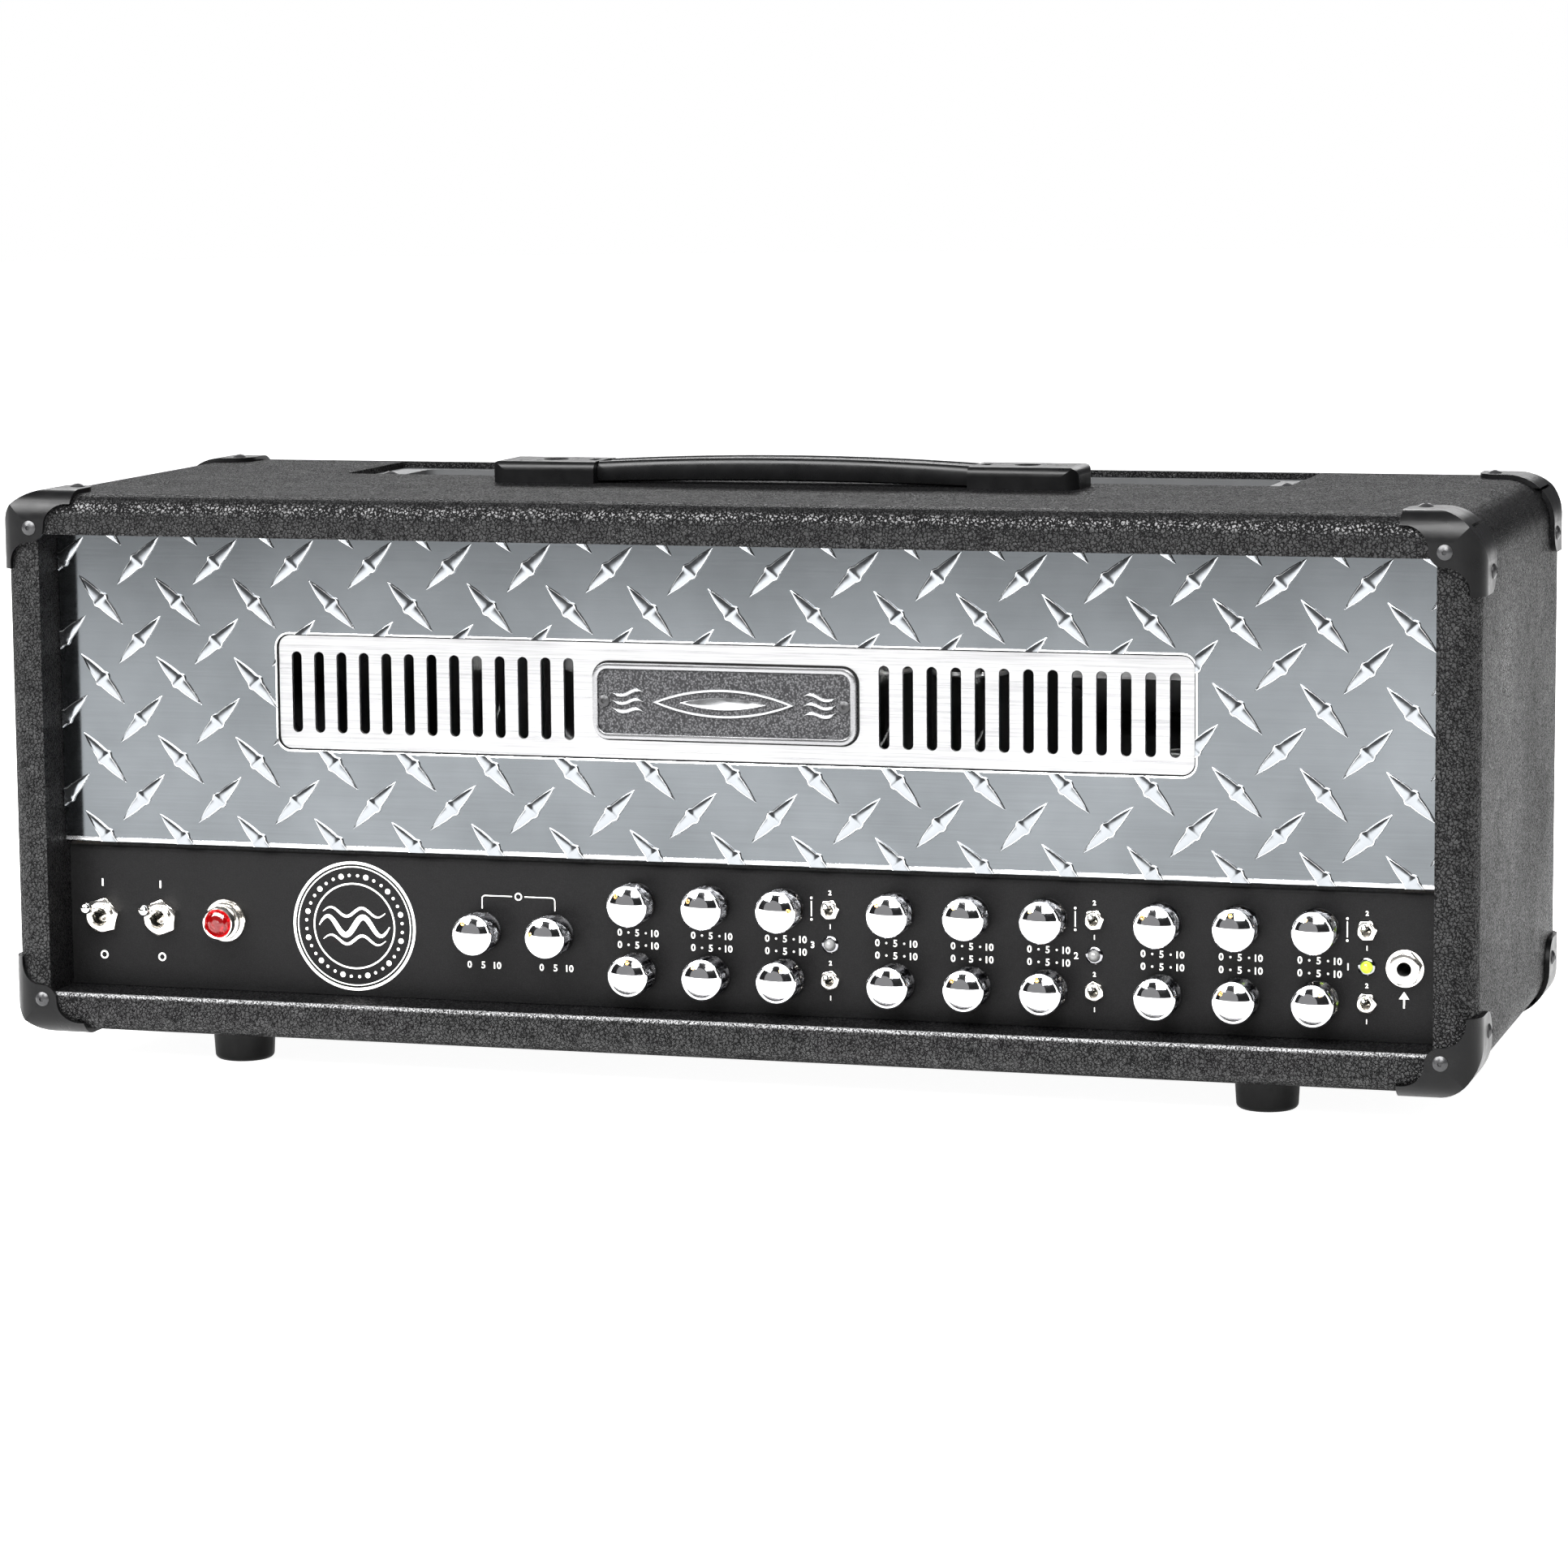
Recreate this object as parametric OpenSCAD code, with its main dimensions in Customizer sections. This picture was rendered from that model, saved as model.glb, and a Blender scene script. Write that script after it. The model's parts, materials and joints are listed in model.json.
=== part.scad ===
// Valve guitar amplifier head: a covered plywood cabinet with a tread-plate front grille,
// a chassis with three channels of controls, and a carrying handle.
// Origin: floor level under the middle of the cabinet. +X right, +Y back, +Z up. Millimetres.

/* [Cabinet] */
// Width of the cabinet, without its corner protectors
body_w = 676; // [670:1:690]
// Height of the cabinet, without its feet
body_h = 247.5; // [246:0.5:252]
// Depth of the cabinet
body_d = 241.5; // [238:0.5:250]
// Thickness of the boards with their covering
wall = 18; // [17:0.5:19]
// Radius of the cabinet's corners, seen from the front
corner_r = 20; // [18:1:22]
// Radius along the front, back and side edges
edge_r = 11; // [10:0.5:12]

/* [Feet] */
// Height of a rubber foot
foot_h = 16; // [14:1:20]
// Radius of a foot where it meets the cabinet
foot_r = 14.5; // [13:0.5:16]
// Distance of the feet from the middle, to the side
foot_x = 241; // [220:1:260]
// Distance of the feet in from the front and back faces
foot_inset = 40; // [36:1:50]

/* [Front grille] */
// How far the tread plate sits behind the cabinet's front face
plate_setback = 20.5; // [18:0.5:22]
// Height of the tread plate's lower edge above the cabinet's underside
plate_low = 86; // [86:0.5:88]
// Width of the window in the tread plate
window_w = 425.4; // [420:0.2:430]
// Height of the window
window_h = 52.9; // [50:0.1:56]
// Height of the window's middle above the cabinet's underside
window_z = 157.8; // [155:0.1:160]
// Slots in each group of the vent plate
slot_count = 13; // [8:1:13]
// Distance from slot to slot
slot_pitch = 10.87; // [10:0.01:11]
// Width of a slot
slot_w = 4.8; // [4:0.1:5.5]
// Length of a slot
slot_l = 37; // [30:0.5:40]
// Distance of the innermost slot from the middle
slot_first = 73.1; // [70:0.1:75]

/* [Badge] */
// Width of the badge
badge_w = 122; // [100:1:130]
// Height of the badge
badge_h = 34; // [28:0.5:40]

/* [Controls] */
// How far the control panel sits behind the cabinet's front face
panel_setback = 24; // [24:0.5:25]
// Height of the knobs' lower row above the cabinet's underside
row_low = 35; // [34:0.25:36]
// Distance between the two rows
row_pitch = 31.75; // [31:0.25:32]
// Distance between two columns of knobs
column_pitch = 34.6; // [34:0.1:35]
// Distance between two channels
channel_pitch = 120.1; // [119:0.1:121]
// Middle knob column of channel 1, from the cabinet's middle
channel_1_x = 231.7; // [231:0.1:232]
// Radius of a knob
knob_r = 9.4; // [9:0.1:10]
// Height of a knob
knob_h = 16.6; // [15:0.1:18]
// Travel of a potentiometer
pot_travel = 300; // [270:5:300]
// Tilt of a large toggle lever from level
toggle_tilt = 17; // [14:1:18]
// Tilt of a mini toggle lever from level
mini_tilt = 15; // [12:1:16]

/* [Handle] */
// Distance of the handle's end caps from the middle, at their inner ends
cap_inner = 89; // [85:1:95]
// Length of an end cap
cap_l = 50.5; // [45:0.5:55]
// Width of an end cap
cap_w = 35.5; // [34:0.5:38]
// Height of an end cap
cap_h = 10; // [9.5:0.5:11]
// Distance of the handle's centre line behind the front face
handle_y = 124.2; // [122:0.1:126]

/* [Top vent] */
// Width of the vent opening
vent_w = 456; // [450:1:460]
// Distance of the opening's front edge behind the cabinet's front face
vent_front = 148; // [146:1:150]
// Depth of the vent opening, front to back
vent_d = 78; // [74:1:80]

/* [Chassis] */
// Thickness of the chassis sheet
sheet = 1.6; // [1.2:0.1:2]
// How far the chassis' rear wall sits in from the cabinet's back face
rear_setback = 24; // [20:1:28]
// Number of power tubes
power_tube_count = 4; // [2:1:4]

/* [Hidden] */
$fn = 64;
eps = 0.01;
front_y = -body_d / 2;
back_y = body_d / 2;
base_z = foot_h;
roof_z = foot_h + body_h;
mid_z = foot_h + body_h / 2;
inner_x = body_w / 2 - wall;
floor_z = base_z + wall;
ceiling_z = roof_z - wall;

// front grille
plate_t = 1.3;
plate_y = front_y + plate_setback;
vent_y = plate_y + plate_t;
vent_t = 2;
plate_z0 = base_z + plate_low;
window_mid = base_z + window_z;
window_r = 6;
cleat_w = 18;
cleat_d = 18;
cleat_y = vent_y + vent_t;

// badge
badge_t = 3.2;
badge_rim = 2.6;
badge_r = 7;
badge_screw_x = 55.7;

// control panel
panel_y = front_y + panel_setback;
panel_t = 2;
panel_roll = 3.5;
panel_z1 = plate_z0 - 1;
flange_y = panel_y + panel_t;
low_z = base_z + row_low;
high_z = low_z + row_pitch;
row_mid = low_z + row_pitch / 2;

// chassis
deck_z = panel_z1 - panel_roll - 0.5;
chassis_x = inner_x - 2;
rear_y = back_y - rear_setback;
lip = 14;

// corner protectors
guard_t = 2;
guard_leg = 34;
guard_leg_w = 4;
guard_lobe = 21.5;
guard_lobe_r = 7;
guard_side_r = 12;
guard_screws = [
    [[14.5, 0, 15], [90, 0, 0]],
    [[0, 25, 25], [0, -90, 0]],
    [[27, 25, 0], [180, 0, 0]],
];

// screws
screw_head_r = 3.3;
screw_head_h = 1.5;
screw_r = 1.5;
screw_l = 9;
bolt_l = 26;
foot_screw_l = 20;
cap_screw_l = 18;
badge_screw_l = 5;
badge_screw_head = 2.6;
hole_r = screw_r + 0.05;

// handle
strap_w = 24.5;
strap_end_top = 9.9;
strap_rise = 2.6;
strap_gap = 0.3;
strap_gap_rise = 1.5;
tongue_w = 20;
tongue_t = 2.4;
tongue_lift = 3.6;
tongue_l = 36;
cap_screw_x = cap_inner + 24;
handle_mid_y = front_y + handle_y;

// top vent tray
tray_sink = 3;
tray_t = 1.2;
tray_gap = 0.3;
tray_flange = 16;
tray_rim = 7.5;
tray_depth = 15;
tray_w = vent_w - 2 * tray_flange;
tray_in_d = vent_d - 2 * tray_rim;
vent_mid_y = front_y + vent_front + vent_d / 2;

// rear grille
grille_t = 1.5;
grille_y = back_y - 16;
grille_z0 = deck_z + 2;

// controls
shaft_r = 3;
bushing_r = 3.5;
pot_gap = 0.05;
knob_gap = 1;
knob_dome = 3;
nut_t = 2;
toggle_pivot_y = panel_y + 1;
toggle_len = 21;
mini_len = 9;
toggle_bush_r = 5.95;
mini_bush_r = 3.1;
bat_ball_r = 3.6;
mini_ball_r = 1.9;
jack_bore_r = 3.25;
jack_bush_r = 4.75;
jack_x = 303.9;
jack_l = 28;
jewel_x = -242;
lamp_r = 2.5;
lamp_ring_r = 4;
power_x = -303.5;
standby_x = -274.5;
solo_x = -116.7;
switch_offset = 55.6;
body_front = flange_y + sheet;

function channel_x(channel) = channel_1_x - (channel - 1) * channel_pitch;

// Where each knob stands and where its dot points at rest, in degrees clockwise from the top
UPPER = ["presence", "master", "gain"];
LOWER = ["bass", "mid", "treble"];
UPPER_DOTS = [[-50, -8, -26], [-37, -34, -37], [-45, -55, 80]];
LOWER_DOTS = [[20, -51, 33], [26, -44, -9], [3, -30, 26]];
KNOBS = concat(
    [["knob_solo", solo_x, row_mid, -34], ["knob_output", solo_x + column_pitch, row_mid, -75]],
    [for (channel = [1:3], column = [0:2])
        [str("knob_", UPPER[column], "_", channel),
         channel_x(channel) + (column - 1) * column_pitch, high_z, UPPER_DOTS[channel - 1][column]]],
    [for (channel = [1:3], column = [0:2])
        [str("knob_", LOWER[column], "_", channel),
         channel_x(channel) + (column - 1) * column_pitch, low_z, LOWER_DOTS[channel - 1][column]]]
);

// Mini toggles: the voicing switch stands above its channel lamp and the power switch below it
MINIS = [for (channel = [1:3], upper = [0, 1])
    [str(upper == 1 ? "toggle_voice_" : "toggle_watts_", channel),
     channel_x(channel) + switch_offset, upper == 1 ? high_z : low_z]];
BATS = [["toggle_power", power_x, row_mid], ["toggle_standby", standby_x, row_mid]];
LAMPS = [for (channel = [1:3]) channel_x(channel) + switch_offset];

// Rear panel
rear_jack_pitch = 32;
rear_jack_x = [for (i = [0:5]) 100 + i * rear_jack_pitch];
rear_jack_z = floor_z + 34;
inlet_x = -262;
inlet_z = floor_z + 34;
inlet_w = 27;
inlet_h = 20;

// Things on the chassis deck
octal_r = 13.5;
noval_r = 9.5;
power_tube_x = [for (i = [0:power_tube_count - 1]) -60 + i * 45];
rectifier_x = [-165, -115];
octal_y = 45;
octal_places = [for (x = concat(power_tube_x, rectifier_x)) [x, octal_y]];
noval_places = [for (i = [0:4]) [196 + i * 26, -45]];
power_core = [112, 48, 92];
power_place = [-252, 5];
output_core = [94, 40, 78];
output_place = [172, 40];
choke_core = [62, 26, 52];
choke_place = [20, -40];
board_z = floor_z + 44;

// ---------------------------------------------------------------- helpers

// Extrudes an outline drawn in X and Z from y0 to y1
module along_y(y0, y1) {
    translate([0, y1, 0]) rotate([90, 0, 0]) linear_extrude(height = y1 - y0) children();
}

// Extrudes an outline drawn in Y and Z from x0 to x1
module along_x(x0, x1) {
    translate([x0, 0, 0]) rotate([90, 0, 90]) linear_extrude(height = x1 - x0) children();
}

module along_z(z0, z1) {
    translate([0, 0, z0]) linear_extrude(height = z1 - z0) children();
}

// A round rod along Y
module rod_y(x, z, y0, y1, r) {
    translate([x, y0, z]) rotate([-90, 0, 0]) cylinder(h = y1 - y0, r = r);
}

// A hex nut around Y, measured across its flats
module nut_y(x, z, y0, y1, flats, hole) {
    difference() {
        translate([x, y0, z]) rotate([-90, 0, 0]) rotate([0, 0, 30])
            cylinder(h = y1 - y0, r = flats / sqrt(3), $fn = 6);
        rod_y(x, z, y0 - 1, y1 + 1, hole);
    }
}

module block(low, high) {
    translate(low) cube(high - low);
}

module rounded(w, h, r) {
    square([w - 2 * r, h], center = true);
    square([w, h - 2 * r], center = true);
    for (x = [-1, 1], y = [-1, 1]) translate([x * (w / 2 - r), y * (h / 2 - r)]) circle(r = r);
}

// ---------------------------------------------------------------- cabinet

// The whole outer form of the cabinet around its centre, grown on every side
module body_block(grow = 0) {
    w = body_w + 2 * grow;
    d = body_d + 2 * grow;
    h = body_h + 2 * grow;
    intersection() {
        along_y(-d / 2, d / 2) rounded(w, h, corner_r + grow);
        along_z(-h / 2, h / 2) rounded(w, d, edge_r + grow);
        along_x(-w / 2, w / 2) rounded(d, h, edge_r + grow);
    }
}

// Repeats what is drawn for the front lower left corner at all eight corners
module each_corner() {
    for (right = [0, 1], back = [0, 1], top = [0, 1])
        translate([0, 0, mid_z]) mirror([right, 0, 0]) mirror([0, back, 0]) mirror([0, 0, top])
            translate([-body_w / 2, -body_d / 2, -body_h / 2]) children();
}

// Repeats along each corner screw, with +Z out of the cabinet and 0 on the protector's face
module each_corner_screw() {
    each_corner() for (s = guard_screws)
        translate(s[0]) rotate(s[1]) translate([0, 0, guard_t]) children();
}

module each_foot() {
    for (x = [-1, 1], y = [-1, 1]) translate([x * foot_x, y * (body_d / 2 - foot_inset), 0]) children();
}

module foot_screw_place() {
    translate([0, 0, foot_h / 2]) rotate([180, 0, 0]) children();
}

module handle_screw_place() {
    for (side = [-1, 1]) translate([side * cap_screw_x, handle_mid_y, roof_z + cap_h - 3.5]) children();
}

module tray_screw_place() {
    for (side = [-1, 1]) translate([side * (vent_w / 2 - tray_flange / 2), vent_mid_y, roof_z - tray_sink])
        children();
}

// Three screws along the rear grille's top edge and one at each lower corner
module grille_screw_place() {
    y = grille_y + grille_t;
    for (x = [-1, 0, 1]) translate([x * 290, y, ceiling_z - 8]) rotate([-90, 0, 0]) children();
    for (x = [-1, 1]) translate([x * (inner_x - cleat_w / 2), y, grille_z0 + 12]) rotate([-90, 0, 0])
        children();
}

// Bolts that come up through the bottom board into the chassis' lips
module chassis_bolt_place() {
    for (x = [-1, 1], y = [flange_y + lip / 2, rear_y - lip / 2])
        translate([x * 180, y, base_z]) rotate([180, 0, 0]) children();
}

module badge_screw_place() {
    for (side = [-1, 1]) translate([side * badge_screw_x, vent_y - badge_t + 1, window_mid])
        rotate([90, 0, 0]) children();
}

module pilot(l = screw_l) {
    translate([0, 0, -l - 0.5]) cylinder(h = l + 1, r = hole_r);
}

module vent_opening(through) {
    translate([0, vent_mid_y]) if (through) rounded(tray_w + 2 * tray_t + 1, tray_in_d + 2 * tray_t + 1, 7.5);
    else rounded(vent_w, vent_d, 2);
}

module cabinet_top() {
    color("#1d1d1f") difference() {
        intersection() {
            translate([0, 0, mid_z]) body_block();
            block([-inner_x, front_y - 1, ceiling_z], [inner_x, back_y + 1, roof_z + 1]);
        }
        // the tray's flange rests on a ledge around the opening
        along_z(roof_z - tray_sink - tray_t, roof_z + 1) vent_opening(0);
        along_z(ceiling_z - 1, roof_z) vent_opening(1);
        each_corner_screw() pilot();
        handle_screw_place() pilot(cap_screw_l);
        tray_screw_place() pilot();
    }
}

module cabinet_bottom() {
    color("#1d1d1f") difference() {
        intersection() {
            translate([0, 0, mid_z]) body_block();
            block([-inner_x, front_y - 1, base_z - 1], [inner_x, back_y + 1, floor_z]);
        }
        each_corner_screw() pilot();
        each_foot() foot_screw_place() pilot(foot_screw_l);
        chassis_bolt_place() pilot(bolt_l);
    }
}

module cabinet_side(side) {
    x = side * (inner_x + wall / 2 + 1);
    color("#1d1d1f") difference() {
        intersection() {
            translate([0, 0, mid_z]) body_block();
            translate([x, 0, mid_z]) cube([wall + 2, body_d + 2, body_h + 2], center = true);
        }
        each_corner_screw() pilot();
    }
}

module cabinet_left_side() { cabinet_side(-1); }

module cabinet_right_side() { cabinet_side(1); }

// Battens that the front and rear grilles are fixed to: uprights at both ends and a rail above
module grille_cleats() {
    gap = 0.5;
    rail_z = ceiling_z - cleat_w;
    color("#8a6a45") difference() {
        for (y = [cleat_y, grille_y - cleat_d]) {
            block([-inner_x, y, rail_z], [inner_x, y + cleat_d, ceiling_z]);
            for (side = [-1, 1]) translate([side * (inner_x - cleat_w / 2), y + cleat_d / 2, 0])
                along_z(deck_z + 5, rail_z - gap) square([cleat_w, cleat_d], center = true);
        }
        grille_screw_place() pilot();
    }
}

// One foot hangs below the cabinet with a recess for its screw
module foot() {
    rim = 2.5;
    low_r = foot_r - 0.8;
    difference() {
        rotate_extrude() {
            polygon([[0, 0], [low_r - rim, 0], [low_r, rim], [foot_r, foot_h], [0, foot_h]]);
            translate([low_r - rim, rim]) intersection() {
                circle(r = rim);
                translate([0, -rim]) square(rim);
            }
        }
        translate([0, 0, -1]) cylinder(h = foot_h / 2 + 1, r = 5);
        cylinder(h = foot_h + 1, r = hole_r);
    }
}

module feet() {
    color("#121212") each_foot() foot();
}

// ---------------------------------------------------------------- corner protectors

// Leaf on the front or back face: a lobe around its screw that runs out into two narrow legs
module front_leaf() {
    out = 6;
    straight = guard_lobe - guard_lobe_r;
    scallop = straight - guard_leg_w;
    difference() {
        translate([-out, -out]) square(out + guard_leg);
        translate([straight, straight]) difference() {
            square(guard_leg);
            circle(r = guard_lobe_r);
        }
        for (turn = [0, 1]) mirror([turn, -turn]) {
            translate([guard_lobe, straight]) square(guard_leg);
            translate([guard_lobe + scallop, straight]) circle(r = scallop);
            translate([guard_lobe + scallop, guard_leg_w]) square(guard_leg);
        }
    }
}

// Leaf on a side, top or bottom face: square with its free corner rounded
module side_leaf() {
    out = 6;
    straight = guard_leg - guard_side_r;
    translate([-out, -out]) {
        square([out + guard_leg, out + straight]);
        square([out + straight, out + guard_leg]);
    }
    translate([straight, straight]) circle(r = guard_side_r);
}

module corner_protectors() {
    deep = 8;
    half = [body_w / 2, body_d / 2, body_h / 2];
    color("#2b2b2c") difference() {
        each_corner() difference() {
            intersection() {
                translate(half) body_block(guard_t);
                union() {
                    along_y(-6, deep) front_leaf();
                    along_x(-6, guard_leg_w) side_leaf();
                    along_z(-6, guard_leg_w) side_leaf();
                }
            }
            translate(half) body_block();
        }
        each_corner_screw() pilot();
    }
}

// A button-head screw with a hex socket, head up, seated at 0
module screw(l = screw_l, head = screw_head_r) {
    difference() {
        union() {
            translate([0, 0, -l]) cylinder(h = l + eps, r = screw_r);
            intersection() {
                cylinder(h = screw_head_h, r = head);
                translate([0, 0, screw_head_h - 5]) sphere(r = 5);
            }
        }
        translate([0, 0, screw_head_h - 0.9]) cylinder(h = 1, r = 1.15, $fn = 6);
    }
}

module cabinet_screws() {
    color("#3a3a3b") {
        each_corner_screw() screw();
        each_foot() foot_screw_place() screw(foot_screw_l);
        chassis_bolt_place() screw(bolt_l);
        handle_screw_place() screw(cap_screw_l);
        grille_screw_place() screw();
        badge_screw_place() screw(badge_screw_l, badge_screw_head);
        tray_screw_place() screw();
    }
}

// ---------------------------------------------------------------- front and vents

module diamond_plate() {
    color("#9aa0a4") along_y(plate_y, plate_y + plate_t) difference() {
        translate([-inner_x + 0.3, plate_z0]) square([2 * inner_x - 0.6, ceiling_z - plate_z0 - 0.2]);
        translate([0, window_mid]) rounded(window_w, window_h, window_r);
    }
}

module slot(w, l) {
    square([w, l - w], center = true);
    for (end = [-1, 1]) translate([0, end * (l - w) / 2]) circle(r = w / 2);
}

module vent_plate() {
    color("#d7d9da") difference() {
        along_y(vent_y, vent_y + vent_t) difference() {
            translate([0, window_mid]) square([window_w + 24, window_h + 18], center = true);
            for (side = [-1, 1], i = [0:slot_count - 1])
                translate([side * (slot_first + i * slot_pitch), window_mid]) slot(slot_w, slot_l);
        }
        badge_screw_place() pilot(badge_screw_l);
    }
}

// A cast badge: a raised rim around a sunk field, and a plain lens shape in the middle
module name_badge() {
    lens_w = 64;
    lens_h = 12;
    lens_r = (lens_w * lens_w / 4 + lens_h * lens_h / 4) / lens_h;
    color("#8f9193") difference() {
        union() {
            along_y(vent_y - badge_t + 1, vent_y) translate([0, window_mid]) rounded(badge_w, badge_h, badge_r);
            along_y(vent_y - badge_t, vent_y) translate([0, window_mid]) difference() {
                rounded(badge_w, badge_h, badge_r);
                rounded(badge_w - 2 * badge_rim, badge_h - 2 * badge_rim, badge_r - badge_rim);
            }
            along_y(vent_y - badge_t, vent_y) translate([0, window_mid]) intersection() {
                translate([0, lens_r - lens_h / 2]) circle(r = lens_r, $fn = 128);
                translate([0, lens_h / 2 - lens_r]) circle(r = lens_r, $fn = 128);
            }
        }
        badge_screw_place() pilot(badge_screw_l);
    }
}

// Upper back guard: a row of long upright slots, a plain band, and a row of short ones
module rear_grille() {
    z1 = ceiling_z - 0.3;
    rows = [[z1 - 47, 56], [grille_z0 + 10, 14]];
    color("#1a1a1b") difference() {
        along_y(grille_y, grille_y + grille_t) difference() {
            translate([-inner_x + 0.5, grille_z0]) square([2 * inner_x - 1, z1 - grille_z0]);
            for (row = rows, i = [-20:20]) translate([i * 13.5, row[0]]) slot(6, row[1]);
        }
        grille_screw_place() pilot();
    }
}

// A pressed tray let into the top board, with a slotted floor
module top_vent_tray() {
    in_w = tray_w;
    in_d = tray_in_d;
    top = roof_z - tray_sink;
    color("#7d8083") translate([0, vent_mid_y, 0]) difference() {
        union() {
            along_z(top - tray_t, top) rounded(vent_w - 2 * tray_gap, vent_d - 2 * tray_gap, 2);
            along_z(top - tray_depth, top) rounded(in_w + 2 * tray_t, in_d + 2 * tray_t, 6 + tray_t);
        }
        along_z(top - tray_depth + tray_t, top + 1) rounded(in_w, in_d, 6);
        along_z(top - tray_depth - 1, top + 1)
            for (i = [-10:10], row = [-1, 1]) translate([i * 19.6, row * in_d / 4]) slot(8, in_d / 2 - 6);
        for (side = [-1, 1]) translate([side * (vent_w - tray_flange) / 2, 0, top - 5]) cylinder(h = 9, r = hole_r);
    }
}

// ---------------------------------------------------------------- handle

// A flexible strap that bows up a little between the caps, on a flat steel core with slotted ends
module handle_strap() {
    half = cap_inner - 0.2;
    steps = 16;
    top_z = roof_z + strap_end_top + strap_rise;
    low_z = roof_z + strap_gap + strap_gap_rise;
    full_h = top_z - roof_z;
    color("#161617") difference() {
        union() {
            intersection() {
                along_y(handle_mid_y - strap_w, handle_mid_y + strap_w) polygon(concat(
                    [for (i = [0:steps]) let (t = 2 * i / steps - 1) [t * half, top_z - strap_rise * t * t]],
                    [for (i = [0:steps]) let (t = 1 - 2 * i / steps) [t * half, low_z - strap_gap_rise * t * t]]
                ));
                along_x(-cap_inner, cap_inner)
                    translate([handle_mid_y, roof_z + full_h / 2]) rounded(strap_w, full_h, 3.5);
            }
            translate([0, handle_mid_y, roof_z + tongue_lift + tongue_t / 2])
                cube([2 * (half + tongue_l), tongue_w, tongue_t], center = true);
        }
        for (side = [-1, 1]) translate([side * cap_screw_x, handle_mid_y, roof_z])
            along_z(0, 12) rounded(18, 8, 3.9);
    }
}

module handle_end_caps() {
    end_r = 7;
    top_r = 4;
    mid = cap_inner + cap_l / 2;
    color("#242425") for (side = [0, 1]) mirror([side, 0, 0]) difference() {
        intersection() {
            along_z(roof_z, roof_z + cap_h) union() {
                translate([mid, handle_mid_y]) rounded(cap_l, cap_w, end_r);
                translate([cap_inner, handle_mid_y - cap_w / 2]) square([end_r * 2, cap_w]);
            }
            along_y(handle_mid_y - cap_w, handle_mid_y + cap_w) union() {
                translate([mid, roof_z + cap_h - 2 * cap_h]) rounded(cap_l, 4 * cap_h, top_r);
                translate([cap_inner, roof_z]) square([end_r * 2, cap_h]);
                translate([cap_inner, roof_z]) square([cap_l, cap_h - top_r]);
            }
            along_x(cap_inner, cap_inner + cap_l) translate([handle_mid_y, roof_z + cap_h - 2 * cap_h])
                rounded(cap_w, 4 * cap_h, top_r);
        }
        // pocket for the strap's tongue, counterbore for the screw, and the stop notch
        block([cap_inner - 1, handle_mid_y - tongue_w / 2 - 0.5, roof_z + tongue_lift - 0.4],
              [cap_inner + tongue_l + 2, handle_mid_y + tongue_w / 2 + 0.5, roof_z + tongue_lift + tongue_t + 0.4]);
        translate([cap_screw_x, handle_mid_y, roof_z - 1]) cylinder(h = 20, r = hole_r);
        translate([cap_screw_x, handle_mid_y, roof_z + cap_h - 3.5]) cylinder(h = 9, r = 6);
        block([cap_inner + 3, handle_mid_y - 4, roof_z + cap_h - 2.5],
              [cap_inner + 7, handle_mid_y + 4, roof_z + cap_h + 1]);
    }
}

// ---------------------------------------------------------------- chassis and panel

// Every hole that the control panel and the chassis' front wall share
module front_holes(y0, y1) {
    for (k = KNOBS) rod_y(k[1], k[2], y0, y1, bushing_r + 0.1);
    for (m = MINIS) rod_y(m[1], m[2], y0, y1, mini_bush_r + 0.1);
    for (b = BATS) rod_y(b[1], b[2], y0, y1, toggle_bush_r + 0.1);
    for (x = LAMPS) rod_y(x, row_mid, y0, y1, lamp_r + 0.6);
    rod_y(jewel_x, row_mid, y0, y1, 7.1);
    rod_y(jack_x, row_mid, y0, y1, jack_bush_r + 0.1);
}

module control_panel() {
    roll_z = panel_z1 - panel_roll;
    roll_y = panel_y + panel_roll;
    color("#161617") difference() {
        along_x(-inner_x + 0.5, inner_x - 0.5) {
            translate([panel_y, floor_z + 0.3]) square([panel_t, roll_z - floor_z - 0.3]);
            difference() {
                intersection() {
                    translate([roll_y, roll_z]) circle(r = panel_roll);
                    translate([panel_y, roll_z]) square(panel_roll);
                }
                translate([roll_y, roll_z]) circle(r = panel_roll - panel_t);
            }
            translate([roll_y, panel_z1 - panel_t]) square([3, panel_t]);
        }
        front_holes(panel_y - 1, panel_y + panel_t + 1);
    }
}

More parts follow.
